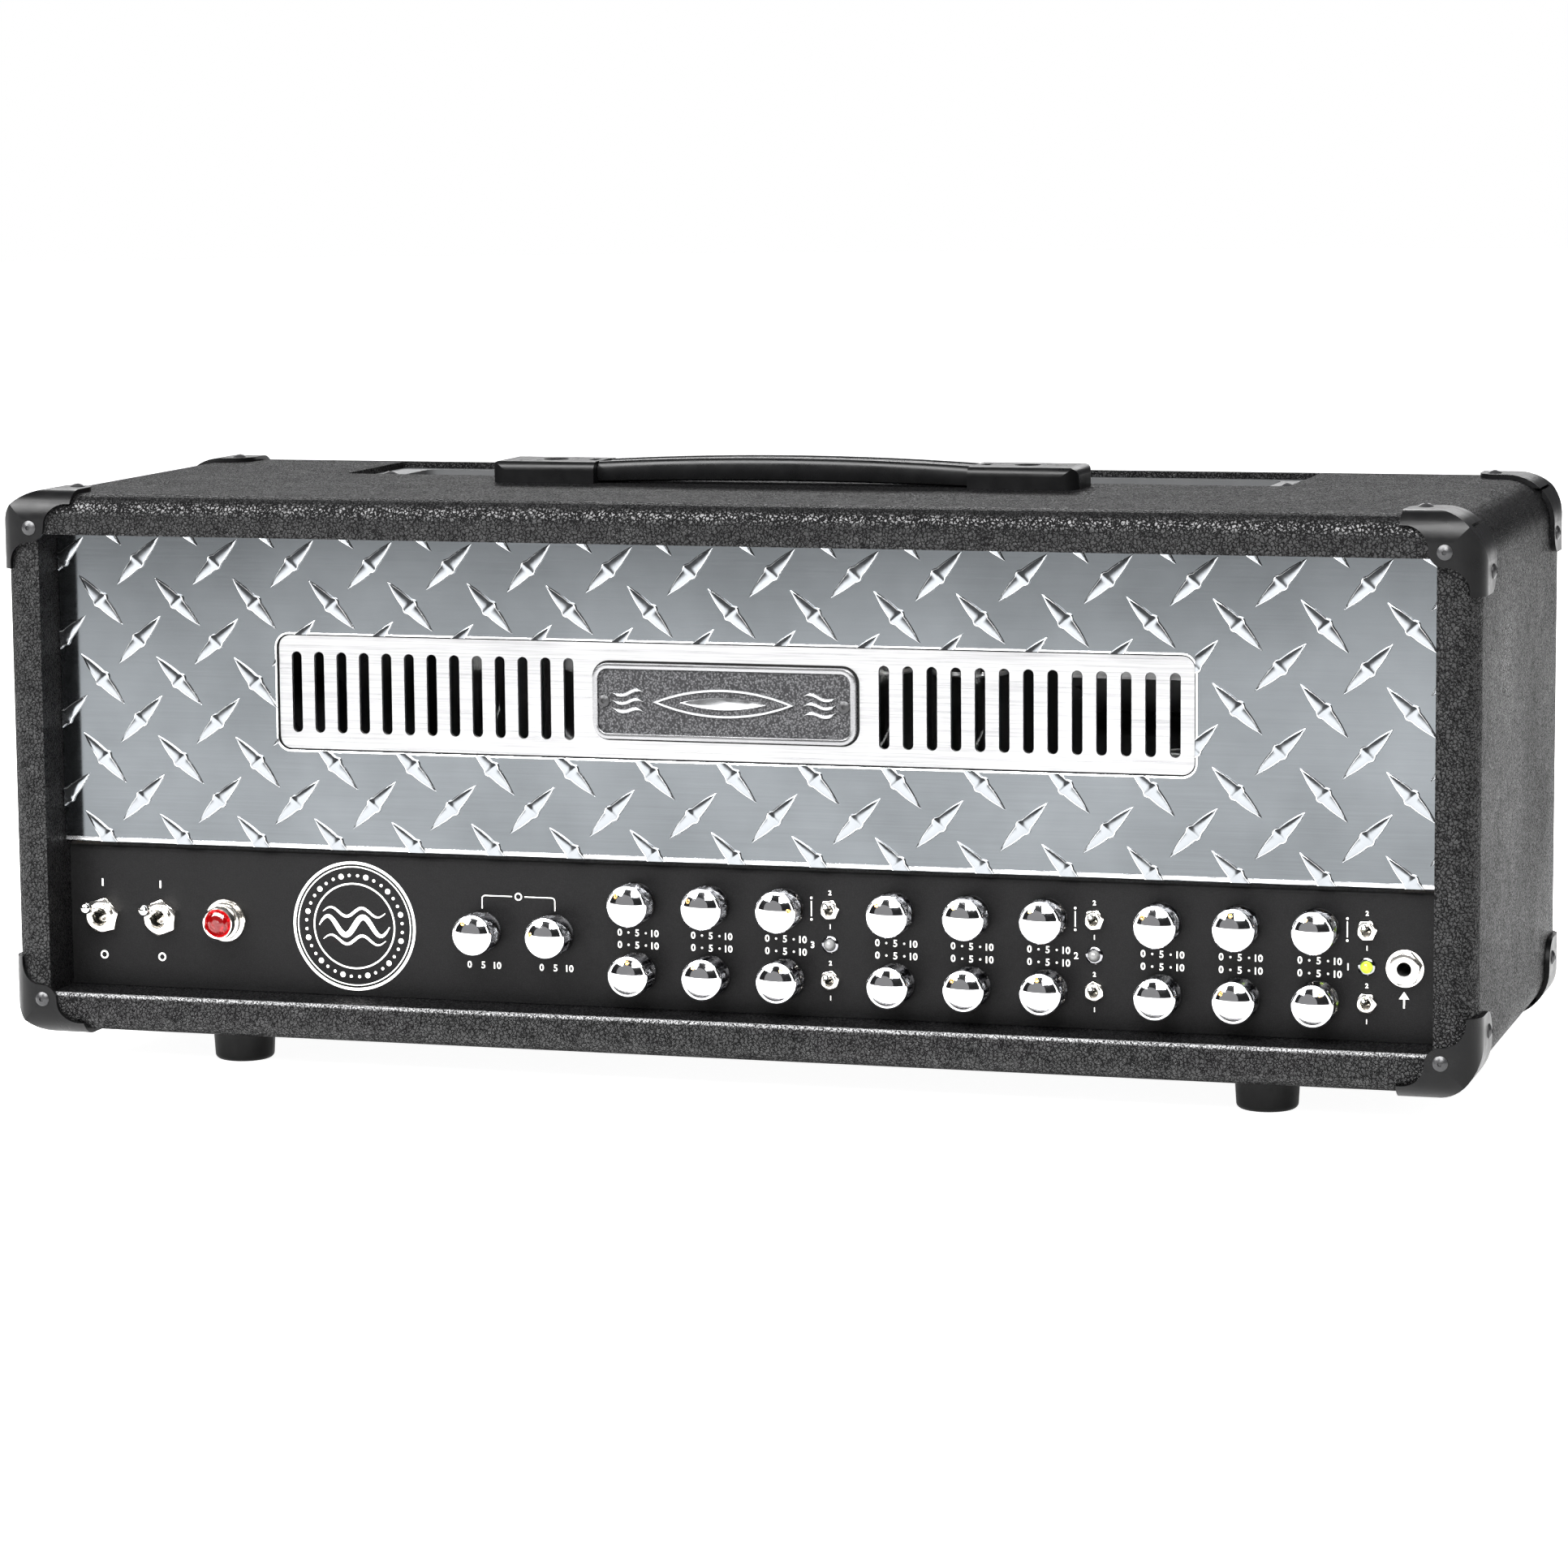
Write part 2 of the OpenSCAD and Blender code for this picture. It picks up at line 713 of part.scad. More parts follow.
// Folded sheet, open below: front and rear walls with inward lips, two ends and a deck
// Spot-welded from flat plates: a deck, two walls with a foot lip each, and two ends. A fine seam parts them
module chassis() {
    seam = 0.05;
    wall_z1 = deck_z - sheet - seam;
    end_x = chassis_x - sheet - seam;
    color("#8b8f92") difference() {
        union() {
            block([-chassis_x, flange_y, deck_z - sheet], [chassis_x, rear_y, deck_z]);
            block([-chassis_x, flange_y, floor_z], [chassis_x, flange_y + sheet, wall_z1]);
            block([-chassis_x, rear_y - sheet, floor_z], [chassis_x, rear_y, wall_z1]);
            block([-end_x, flange_y + sheet + seam, floor_z], [end_x, flange_y + lip, floor_z + sheet]);
            block([-end_x, rear_y - lip, floor_z], [end_x, rear_y - sheet - seam, floor_z + sheet]);
            for (side = [-1, 1]) translate([side * (chassis_x - sheet / 2), (flange_y + rear_y) / 2, 0])
                along_z(floor_z, wall_z1) square([sheet, rear_y - flange_y - 2 * (sheet + seam)], center = true);
        }
        chassis_bolt_place() pilot(bolt_l);
        front_holes(flange_y - 1, flange_y + sheet + 1);
        for (p = octal_places) translate([p[0], p[1], deck_z - 5]) cylinder(h = 9, r = octal_r + 0.1);
        for (p = noval_places) translate([p[0], p[1], deck_z - 5]) cylinder(h = 9, r = noval_r + 0.1);
        for (x = rear_jack_x) rod_y(x, rear_jack_z, rear_y - 5, rear_y + 1, jack_bush_r + 0.1);
        along_y(rear_y - 5, rear_y + 1) translate([inlet_x, inlet_z]) square([inlet_w + 0.4, inlet_h + 0.4], center = true);
    }
}

// ---------------------------------------------------------------- on the deck

// Laminated core with a winding and two end covers, standing on the deck
module transformer(core, place) {
    cover = [core[0] * 0.72, core[1] + 0.9 * core[1], core[2] * 0.62];
    translate([place[0], place[1], deck_z]) {
        translate([0, 0, core[2] / 2]) cube(core, center = true);
        translate([0, 0, core[2] / 2]) intersection() {
            cube(cover, center = true);
            along_y(-cover[1], cover[1]) rounded(cover[0], cover[2], 8);
            along_x(-cover[0], cover[0]) rounded(cover[1], cover[2], 12);
        }
        for (x = [-1, 1], z = [-1, 1])
            rod_y(x * (core[0] / 2 - 7), core[2] / 2 + z * (core[2] / 2 - 7), -core[1] / 2 - 4, core[1] / 2 + 4, 3);
    }
}

module power_transformer() { color("#232324") transformer(power_core, power_place); }

module output_transformer() { color("#232324") transformer(output_core, output_place); }

module choke() { color("#232324") transformer(choke_core, choke_place); }

// An octal tube, hollow and open below: a bakelite base and a glass bulb with a rounded crown
module octal_tube(bulb_r, bulb_h) {
    glass = 1.2;
    foot = 15.5;
    base_h = 14;
    translate([0, 0, deck_z + 3]) rotate_extrude() {
        translate([12, 0]) square([4.4, base_h]);
        translate([0, base_h - eps]) difference() {
            bulb_profile(foot, bulb_r, bulb_h);
            translate([0, -eps]) bulb_profile(foot - glass, bulb_r - glass, bulb_h - glass);
        }
    }
}

module bulb_profile(foot, r, h) {
    polygon([[0, 0], [foot, 0], [r, 14], [r, h - r], [0, h - r]]);
    intersection() {
        translate([0, h - r]) circle(r = r);
        translate([0, h - r - eps]) square([r, r + 1]);
    }
}

module power_tubes() {
    color("#6d6f72") for (x = power_tube_x) translate([x, octal_y, 0]) octal_tube(18, 82);
}

module rectifier_tubes() {
    color("#6d6f72") for (x = rectifier_x) translate([x, octal_y, 0]) octal_tube(20, 92);
}

// Small nine-pin tubes, each a glass inside a drawn metal shield that is open at both ends
module preamp_tubes() {
    color("#b5b7b8") for (p = noval_places) translate([p[0], p[1], deck_z + 2]) {
        difference() {
            cylinder(h = 52, r = 11);
            translate([0, 0, -1]) cylinder(h = 52, r = 10.3);
            cylinder(h = 60, r = 7);
        }
        cylinder(h = 46, r = 9.6);
    }
}

module tube_sockets() {
    color("#3c2f27") {
        for (p = octal_places) translate([p[0], p[1], deck_z]) {
            cylinder(h = 3, r = 17);
            translate([0, 0, -12]) cylinder(h = 12, r = octal_r);
        }
        for (p = noval_places) translate([p[0], p[1], deck_z]) {
            cylinder(h = 2, r = 11.8);
            translate([0, 0, -10]) cylinder(h = 10, r = noval_r);
        }
    }
}

// The board hangs below the deck on pillars and carries the filter capacitors and smaller parts
module circuit_board() {
    y0 = -50;
    y1 = 70;
    color("#2f5d3a") {
        block([-205, y0, board_z], [300, y1, board_z + sheet]);
        for (x = [-195, -40, 110, 287], y = [y0 + 8, y1 - 8])
            translate([x, y, board_z]) cylinder(h = deck_z - sheet - board_z, r = 3);
        for (x = [-170, -138, 150, 182]) translate([x, y0 + 15, board_z - 12]) rotate([-90, 0, 0])
            cylinder(h = 45, r = 12.5);
        for (i = [0:9]) translate([-90 + i * 22, y0 + 20, board_z - 4]) rotate([-90, 0, 0]) cylinder(h = 20, r = 4.5);
        for (i = [0:11]) translate([-95 + i * 19, y1 - 30, board_z - 3]) rotate([-90, 0, 0]) cylinder(h = 12, r = 3.5);
    }
}

// ---------------------------------------------------------------- controls

module potentiometers() {
    color("#9b9d9f") for (k = KNOBS) difference() {
        union() {
            rod_y(k[1], k[2], body_front, body_front + 9, 8);
            rod_y(k[1], k[2], panel_y - nut_t, body_front + eps, bushing_r);
        }
        rod_y(k[1], k[2], panel_y - 5, body_front + 7, shaft_r + pot_gap);
    }
}

// The dot of a knob points up when dot is 0 and turns clockwise, seen from the front
module knob(place, dot) {
    back = panel_y - knob_gap;
    face = back - knob_h;
    cup = 4;
    dome_r = (knob_r * knob_r + knob_dome * knob_dome) / (2 * knob_dome);
    translate([place[0], 0, place[1]]) {
        color("#c9cbcd") difference() {
            union() {
                rod_y(0, 0, face + knob_dome, back, knob_r);
                intersection() {
                    rod_y(0, 0, face - 1, face + knob_dome + eps, knob_r - 0.4);
                    translate([0, face + dome_r, 0]) sphere(r = dome_r, $fn = 96);
                }
                rotate([0, dot, 0]) rod_y(0, knob_r - 1.9, face + 0.8, face + knob_dome, 0.9);
            }
            rod_y(0, 0, back - cup, back + 1, 7);
        }
        color("#a9abad") rod_y(0, 0, back - cup - 1, body_front + 6, shaft_r);
    }
}

// The pin across a toggle's ball, which turns in two blind holes in the bushing
module pivot_pin(x, z, bush_r, ball_r, gap = 0) {
    half = bush_r - 0.5 + gap;
    translate([x - half, toggle_pivot_y, z]) rotate([0, 90, 0]) cylinder(h = 2 * half, r = ball_r * 0.22 + gap);
}

// A lever lies along -Y from its pivot before it is tilted up
module lever(x, z, tilt, length, ball_r, tip_r, neck_r) {
    translate([x, toggle_pivot_y, z]) rotate([-tilt, 0, 0]) rotate([90, 0, 0]) rotate_extrude() {
        intersection() {
            union() {
                circle(r = ball_r);
                translate([0, length]) circle(r = tip_r);
                polygon([[0, 0], [neck_r, 0], [neck_r, length * 0.45], [tip_r * 0.75, length], [0, length]]);
            }
            translate([0, -ball_r]) square([ball_r + tip_r, length + ball_r + tip_r]);
        }
    }
}

module bat_toggle(x, z) {
    color("#cfd0d1") {
        lever(x, z, toggle_tilt, toggle_len, bat_ball_r, 2.75, 1.6);
        pivot_pin(x, z, toggle_bush_r, bat_ball_r);
    }
}

module mini_toggle(x, z) {
    color("#cfd0d1") {
        lever(x, z, mini_tilt, mini_len, mini_ball_r, 1.35, 0.95);
        pivot_pin(x, z, mini_bush_r, mini_ball_r);
    }
}

// A threaded bushing through the panel, open in front, on a switch body behind the chassis wall
module switch_body(x, z, bush_r, bush_y, ball_r, mouth_r, size) {
    cavity = toggle_pivot_y + ball_r + 0.3;
    color("#c2c4c6") difference() {
        union() {
            rod_y(x, z, bush_y, body_front + eps, bush_r);
            translate([x, body_front + size[1] / 2, z]) cube(size, center = true);
        }
        rod_y(x, z, toggle_pivot_y - ball_r * 0.3, cavity, ball_r + 0.3);
        rod_y(x, z, bush_y - 1, cavity, mouth_r);
        pivot_pin(x, z, bush_r, ball_r, 0.05);
    }
}

module toggle_switches() {
    for (b = BATS) switch_body(b[1], b[2], toggle_bush_r, panel_y - 5.5, bat_ball_r, 4.4, [17, 26, 32]);
    for (m = MINIS) switch_body(m[1], m[2], mini_bush_r, panel_y - 3.5, mini_ball_r, 2.5, [8, 11, 13]);
}

// One hex nut on each pot, switch and jack
module panel_nuts() {
    color("#d4d1c8") {
        for (k = KNOBS) nut_y(k[1], k[2], panel_y - nut_t, panel_y, 10, bushing_r);
        for (m = MINIS) nut_y(m[1], m[2], panel_y - nut_t, panel_y, 8, mini_bush_r);
        for (b = BATS) nut_y(b[1], b[2], panel_y - 3, panel_y, 15, toggle_bush_r);
        nut_y(jack_x, row_mid, panel_y - 3, panel_y - 0.8, 13.4, jack_bush_r);
        for (x = rear_jack_x) nut_y(x, rear_jack_z, rear_y, rear_y + 2.2, 13.4, jack_bush_r);
    }
}

// A quarter-inch jack: bored bushing and body. Its face looks along -Y and its seat is at y
module jack(x, z, y, seat) {
    difference() {
        union() {
            rod_y(x, z, y, seat + eps, jack_bush_r);
            translate([x, seat + 11, z]) cube([16, 22, 16], center = true);
        }
        rod_y(x, z, y - 1, y + jack_l, jack_bore_r);
    }
}

module jacks() {
    color("#c9c7c0") {
        jack(jack_x, row_mid, body_front - 7.1, body_front);
        // the front jack's washer
        difference() {
            rod_y(jack_x, row_mid, panel_y - 0.8, panel_y, 8.2);
            rod_y(jack_x, row_mid, panel_y - 2, panel_y + 1, jack_bush_r);
        }
        for (x = rear_jack_x) translate([0, 2 * (rear_y - sheet), 0]) mirror([0, 1, 0])
            translate([0, 0, 0]) jack(x, rear_jack_z, rear_y - sheet - 5.6, rear_y - sheet);
    }
}

// Three-pin inlet with a fuse drawer below its socket
module mains_inlet() {
    deep = 20;
    color("#1b1b1c") {
        difference() {
            union() {
                along_y(rear_y, rear_y + 3) translate([inlet_x, inlet_z]) rounded(50, 28, 4);
                block([inlet_x - inlet_w / 2, rear_y - deep, inlet_z - inlet_h / 2],
                      [inlet_x + inlet_w / 2, rear_y + eps, inlet_z + inlet_h / 2]);
            }
            along_y(rear_y - deep + 4, rear_y + 4) translate([inlet_x, inlet_z]) rounded(24.2, 16.4, 3);
        }
        for (pin = [[-7, -1.5], [0, 2.5], [7, -1.5]])
            translate([inlet_x + pin[0], rear_y - deep / 2 + 1.5, inlet_z + pin[1]]) cube([2, deep - 5, 4], center = true);
    }
}

module lamp_bezels() {
    color("#cfccc4") {
        // stepped jewel bezel
        difference() {
            union() {
                rod_y(jewel_x, row_mid, panel_y - 2, panel_y, 9.9);
                rod_y(jewel_x, row_mid, panel_y - 6, panel_y, 8.6);
                rod_y(jewel_x, row_mid, panel_y - 11, panel_y, 7.4);
                rod_y(jewel_x, row_mid, panel_y - 1, body_front + 4, 7);
            }
            rod_y(jewel_x, row_mid, panel_y - 12, body_front + 5, 6.1);
        }
        for (x = LAMPS) difference() {
            union() {
                rod_y(x, row_mid, panel_y - 1, panel_y, lamp_ring_r);
                rod_y(x, row_mid, panel_y - 1, body_front + 2, lamp_r + 0.5);
            }
            rod_y(x, row_mid, panel_y - 2, body_front + 3, lamp_r + 0.05);
        }
    }
}

// The red jewel and the three small domed channel lamps
module lamp_lenses() {
    jewel_y = panel_y - 10.5;
    color("#b0101a") {
        rod_y(jewel_x, row_mid, jewel_y, body_front + 3, 6);
        intersection() {
            translate([jewel_x, jewel_y + 4.2, row_mid]) sphere(r = 7);
            rod_y(jewel_x, row_mid, jewel_y - 6, jewel_y + eps, 6);
        }
    }
    color("#d8d8d8") for (x = LAMPS) {
        rod_y(x, row_mid, panel_y - 1.4, body_front + 3, lamp_r);
        intersection() {
            translate([x, panel_y - 1.4, row_mid]) sphere(r = lamp_r);
            rod_y(x, row_mid, panel_y - 5, panel_y - 1.3, lamp_r);
        }
    }
}

// ---------------------------------------------------------------- nodes

cabinet_top();
cabinet_bottom();
cabinet_left_side();
cabinet_right_side();
grille_cleats();
diamond_plate();
vent_plate();
name_badge();
chassis();
control_panel();
rear_grille();
top_vent_tray();
handle_strap();
handle_end_caps();
corner_protectors();
cabinet_screws();
feet();
power_transformer();
output_transformer();
choke();
power_tubes();
rectifier_tubes();
preamp_tubes();
tube_sockets();
circuit_board();
potentiometers();
toggle_switches();
jacks();
mains_inlet();
panel_nuts();
lamp_bezels();
lamp_lenses();
for (k = KNOBS) knob([k[1], k[2]], k[3]);
for (m = MINIS) mini_toggle(m[1], m[2]);
for (b = BATS) bat_toggle(b[1], b[2]);
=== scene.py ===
import json
from math import asin, cos, degrees, hypot, pi, radians, sin, sqrt, tan

import bmesh
import bpy
from mathutils import Matrix, Vector


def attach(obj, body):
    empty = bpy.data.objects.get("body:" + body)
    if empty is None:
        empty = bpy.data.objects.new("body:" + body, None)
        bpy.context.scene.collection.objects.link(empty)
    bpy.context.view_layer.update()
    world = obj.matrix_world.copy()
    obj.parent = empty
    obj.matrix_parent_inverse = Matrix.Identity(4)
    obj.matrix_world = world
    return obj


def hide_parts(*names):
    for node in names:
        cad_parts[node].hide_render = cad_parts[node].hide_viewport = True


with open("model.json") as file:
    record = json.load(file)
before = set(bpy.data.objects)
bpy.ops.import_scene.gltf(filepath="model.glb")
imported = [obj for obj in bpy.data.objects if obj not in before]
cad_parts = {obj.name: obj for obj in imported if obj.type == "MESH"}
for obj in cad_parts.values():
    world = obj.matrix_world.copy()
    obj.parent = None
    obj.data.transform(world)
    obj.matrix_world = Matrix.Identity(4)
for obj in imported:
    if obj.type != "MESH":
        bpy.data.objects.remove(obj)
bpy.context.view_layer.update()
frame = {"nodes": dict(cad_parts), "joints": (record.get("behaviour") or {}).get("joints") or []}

nodes = frame["nodes"]
MM = 0.001
TAU = 2 * pi

# Faces, levels and places on the amplifier, in millimetres, in the row frame. A window
# or a badge is (width, height, corner radius).
PLATE_Y = -100.25
VENT_Y = -98.95
PANEL_Y = -96.75
ROW_Z = 66.875
WINDOW_Z = 173.8
WINDOW = (425.4, 52.9, 6)
BADGE = (122, 34, 7)
JACK_X = 303.9
JEWEL_X = -242
ROOF_Z = 263.5
HANDLE_Y = 3.45
DECK_Z = 97.0
CHANNELS = {1: 231.7, 2: 111.6, 3: -8.5}
COLUMN = 34.6
SWITCH = 55.6
LARGE_TOGGLES = ("toggle_power", "toggle_standby")
LARGE_TILT, SMALL_TILT = 17, 15
TUBE_ROW_Y = 45


# ---- materials


class Surface:
    """A Principled material whose texture is laid out in the piece's own coordinates, in metres."""

    def __init__(self, name, base=(0.5, 0.5, 0.5), rough=0.5, **settings):
        self.mat = bpy.data.materials.new(name)
        self.mat.use_nodes = True
        self.tree = self.mat.node_tree
        self.shader = self.tree.nodes["Principled BSDF"]
        self.coord = None
        self.normal = None
        self.set("Base Color", (*base, 1.0))
        self.set("Roughness", rough)
        for key, value in settings.items():
            self.set(key.replace("_", " "), value)
        self.mat.diffuse_color = (*base, 1.0)

    def set(self, socket, value):
        self.shader.inputs[socket].default_value = value

    def add(self, kind, inputs=None, **settings):
        """A node. Each input is a constant, or the output of another node that feeds it."""
        node = self.tree.nodes.new("ShaderNode" + kind)
        for key, value in settings.items():
            setattr(node, key, value)
        for key, value in (inputs or {}).items():
            if isinstance(value, bpy.types.NodeSocket):
                self.link(value, node.inputs[key])
            else:
                node.inputs[key].default_value = value
        return node

    def link(self, a, b):
        self.tree.links.new(a, b)

    def space(self, stretch=(1, 1, 1)):
        if self.coord is None:
            self.coord = self.add("TexCoord").outputs["Object"]
        return self.add("Mapping", {"Vector": self.coord, "Scale": stretch}).outputs["Vector"]

    def axes(self):
        """The piece's own X, Y and Z, in metres."""
        return self.add("SeparateXYZ", {0: self.space()}).outputs

    def noise(self, scale, detail=4, rough=0.55, stretch=(1, 1, 1)):
        return self.add("TexNoise", {"Vector": self.space(stretch), "Scale": scale, "Detail": detail,
                                     "Roughness": rough}).outputs["Fac"]

    def warp(self, scale, amount):
        """Coordinates pushed about by noise, so that cells lose their straight edges."""
        place = self.space()
        blur = self.add("TexNoise", {"Vector": place, "Scale": scale, "Detail": 2}).outputs["Color"]
        push = {0: blur, 1: (amount, amount, amount), 2: place}
        return self.add("VectorMath", push, operation="MULTIPLY_ADD").outputs["Vector"]

    def cells(self, scale, vector=None, feature="F1", smooth=None):
        place = vector or self.space()
        node = self.add("TexVoronoi", {"Vector": place, "Scale": scale}, feature=feature)
        if smooth is not None:
            node.inputs["Smoothness"].default_value = smooth
        return node.outputs["Distance"]

    def ramp(self, value, stops):
        node = self.add("ValToRGB", {"Fac": value})
        line = node.color_ramp.elements
        while len(line) < len(stops):
            line.new(0.5)
        for point, (place, colour) in zip(line, stops):
            point.position = place
            if not isinstance(colour, tuple):
                colour = (colour, colour, colour)
            point.color = (*colour, 1.0)
        return node.outputs["Color"]

    def scaled(self, value, low, high, a=0.0, b=1.0):
        """value taken from the range a to b into the range low to high, and held there."""
        return self.add("MapRange", {"Value": value, "From Min": a, "From Max": b, "To Min": low,
                                     "To Max": high}).outputs["Result"]

    def maths(self, operation, a, b):
        return self.add("Math", {0: a, 1: b}, operation=operation).outputs[0]

    def colour(self, value, stops):
        self.link(self.ramp(value, stops), self.shader.inputs["Base Color"])

    def rough(self, value, low, high, a=0.3, b=0.7):
        self.link(self.scaled(value, low, high, a, b), self.shader.inputs["Roughness"])

    def bump(self, height, strength, distance):
        """distance is the height in millimetres of the texture's full range."""
        node = self.add("Bump", {"Height": height, "Strength": strength, "Distance": distance * MM})
        if self.normal is not None:
            self.link(self.normal, node.inputs["Normal"])
        self.normal = node.outputs["Normal"]
        self.link(self.normal, self.shader.inputs["Normal"])


def shade(colour, by):
    return tuple(min(1, c * by) for c in colour)


def covering():
    """Black vinyl: smooth wormy islands a millimetre or two across, parted by dull narrow creases."""
    s = Surface("covering", (0.004, 0.004, 0.0041), 0.3, Specular_IOR_Level=0.24)
    crease = s.cells(590, s.warp(700, 0.0026), "DISTANCE_TO_EDGE")
    small = s.cells(1300, s.warp(1500, 0.0008), "SMOOTH_F1", 0.4)
    island = s.ramp(crease, [(0.0, 0.0), (0.07, 0.3), (0.2, 1.0)])
    s.bump(island, 1.0, 0.4)
    s.bump(s.scaled(small, 1.0, 0.0, 0.05, 0.8), 0.4, 0.16)
    s.bump(s.noise(5200, 2), 0.2, 0.03)
    # painted highlight: a bright speckled line along the bottom rail's upper front edge, where the
    # roundover catches the overhead light
    axes = s.axes()
    above = s.scaled(axes["Z"], 0.0, 1.0, 0.0322, 0.0334)
    under = s.scaled(axes["Z"], 1.0, 0.0, 0.0342, 0.0348)
    ahead = s.scaled(axes["Y"], 1.0, 0.0, -0.1195, -0.1175)
    rail = s.maths("MULTIPLY", s.maths("MULTIPLY", above, under), ahead)
    painted_highlight = s.maths("MULTIPLY", rail, s.scaled(small, 7.0, 0.4, 0.1, 0.7))
    # painted shade: the base colour is darker in the creases between the islands
    tone = s.maths("ADD", s.maths("MULTIPLY", island, 0.1), s.maths("MULTIPLY", painted_highlight, 0.1))
    s.colour(tone, [(0.01, (0.0015, 0.0015, 0.0016)), (0.1, (0.006, 0.006, 0.0062)),
                    (0.85, (0.42, 0.42, 0.425))])
    lustre = s.scaled(s.noise(150, 3, 0.6), 0.16, 0.36, 0.3, 0.7)
    sheen = s.maths("MULTIPLY", s.scaled(island, 0.1, 1.0, 0.15, 0.9), lustre)
    glance = s.add("LayerWeight", {"Blend": 0.5})
    dulled = s.scaled(glance.outputs["Facing"], 1.15, 0.13, 0.3, 0.68)
    s.link(s.maths("MULTIPLY", sheen, dulled), s.shader.inputs["Specular IOR Level"])
    s.rough(s.noise(7, 4, 0.6), 0.26, 0.4)
    return s.mat


def brushed(name, light, dark, rough_low, rough_high, strength=0.12, along="x", wear=0.4):
    stretch = {"x": (14, 900, 900), "z": (900, 900, 14)}[along]
    s = Surface(name, light, rough_low, Metallic=1.0)
    streak = s.noise(1.6, 4, 0.65, stretch)
    smear = s.noise(11, 4, 0.6)
    tone = s.maths("ADD", s.maths("MULTIPLY", streak, 1 - wear), s.maths("MULTIPLY", smear, wear))
    s.colour(tone, [(0.32, dark), (0.68, light)])
    s.rough(streak, rough_low, rough_high)
    s.bump(streak, strength, 0.03)
    return s.mat


def polished(name, base, rough=0.06, haze=0.08, metal=1.0):
    s = Surface(name, base, rough, Metallic=metal)
    s.rough(s.noise(160, 5, 0.65), rough, rough + haze)
    s.bump(s.noise(2200, 2), 0.04, 0.02)
    return s.mat


def satin_paint(name, base, rough=0.42, grain=1500, depth=0.05, strength=0.3, gloss=0.5):
    s = Surface(name, base, rough, Specular_IOR_Level=gloss)
    s.bump(s.noise(grain, 3, 0.6), strength, depth)
    s.rough(s.noise(40, 4), rough - 0.06, rough + 0.08)
    s.colour(s.noise(25, 4), [(0.3, shade(base, 0.85)), (0.7, shade(base, 1.2))])
    return s.mat


def panel_paint():
    """Fine-grained black powder coat, with a painted grey highlight along the roll at the panel's top.
    """
    s = Surface("panel_black", (0.003, 0.003, 0.0031), 0.38, Specular_IOR_Level=0.1)
    grain = s.noise(1300, 3, 0.6)
    s.bump(grain, 0.9, 0.14)
    s.rough(s.noise(40, 4), 0.32, 0.46)
    # painted highlight: a grey band along the roll at the top of the panel
    roll = s.scaled(s.axes()["Z"], 0.0, 0.2, 0.0994, 0.1008)
    painted_highlight = s.maths("MULTIPLY", roll, s.scaled(grain, 0.55, 1.4, 0.3, 0.7))
    speck = s.scaled(s.cells(2100), 0.006, 0.0, 0.0, 0.55)
    s.colour(s.maths("ADD", painted_highlight, speck), [(0.0, (0.0024, 0.0024, 0.0025)),
                                             (0.006, (0.007, 0.007, 0.0072)),
                                             (0.8, (0.34, 0.34, 0.345))])
    return s.mat


def moulded(name, base=(0.012, 0.012, 0.0125), rough=0.4, scuff=0.1, gloss=0.5):
    s = Surface(name, base, rough, Specular_IOR_Level=gloss)
    s.bump(s.noise(1900, 3, 0.7), 0.25, 0.05)
    s.bump(s.noise(260, 3), 0.1, 0.2)
    s.rough(s.noise(70, 5, 0.7), rough - scuff, rough + scuff)
    s.colour(s.noise(90, 4), [(0.35, base), (0.8, shade(base, 1.6))])
    return s.mat


def ink():
    s = Surface("print_white", (0.8, 0.79, 0.76), 0.5)
    s.colour(s.noise(700, 3), [(0.3, (0.72, 0.71, 0.68)), (0.7, (0.86, 0.85, 0.82))])
    s.bump(s.noise(2500, 2), 0.1, 0.02)
    return s.mat


def pebble():
    s = Surface("badge_field", (0.03, 0.03, 0.032), 0.5, Metallic=0.7)
    cell = s.cells(1100, s.warp(1500, 0.0006), "SMOOTH_F1", 0.3)
    s.bump(s.scaled(cell, 1, 0, 0, 0.8), 0.9, 0.25)
    s.colour(cell, [(0.15, (0.07, 0.07, 0.073)), (0.6, (0.012, 0.012, 0.013))])
    s.rough(s.noise(300, 3), 0.35, 0.6)
    return s.mat


def wood():
    s = Surface("raw_wood", (0.42, 0.29, 0.17), 0.7)
    ring = s.noise(9, 5, 0.6, (0.7, 8, 8))
    s.colour(ring, [(0.3, (0.15, 0.095, 0.052)), (0.7, (0.24, 0.165, 0.1))])
    s.bump(s.noise(30, 5, 0.7, (1, 14, 14)), 0.3, 0.3)
    s.rough(ring, 0.6, 0.8)
    return s.mat


def plated(name, base):
    s = Surface(name, base, 0.35, Metallic=1.0)
    flake = s.cells(210, s.warp(150, 0.006))
    s.colour(flake, [(0.1, shade(base, 0.88)), (0.8, shade(base, 1.1))])
    s.rough(s.noise(50, 4), 0.3, 0.48)
    s.bump(s.noise(700, 3), 0.08, 0.04)
    return s.mat


def laminated():
    s = Surface("transformer_lacquer", (0.013, 0.013, 0.014), 0.35)
    sheets = s.add("TexWave", {"Vector": s.space(), "Scale": 330, "Distortion": 0.4},
                   wave_type="BANDS", bands_direction="Y")
    s.bump(sheets.outputs["Fac"], 0.25, 0.12)
    s.bump(s.noise(300, 4), 0.2, 0.15)
    s.rough(s.noise(60, 4), 0.25, 0.5)
    s.colour(s.noise(80, 4), [(0.3, (0.01, 0.01, 0.011)), (0.75, (0.022, 0.021, 0.02))])
    return s.mat


def glass(name, base=(1, 1, 1), rough=0.02, **more):
    s = Surface(name, base, rough, Transmission_Weight=1.0, IOR=1.46, **more)
    s.rough(s.noise(60, 4), rough, rough + 0.04)
    s.bump(s.noise(120, 2), 0.03, 0.1)
    return s.mat


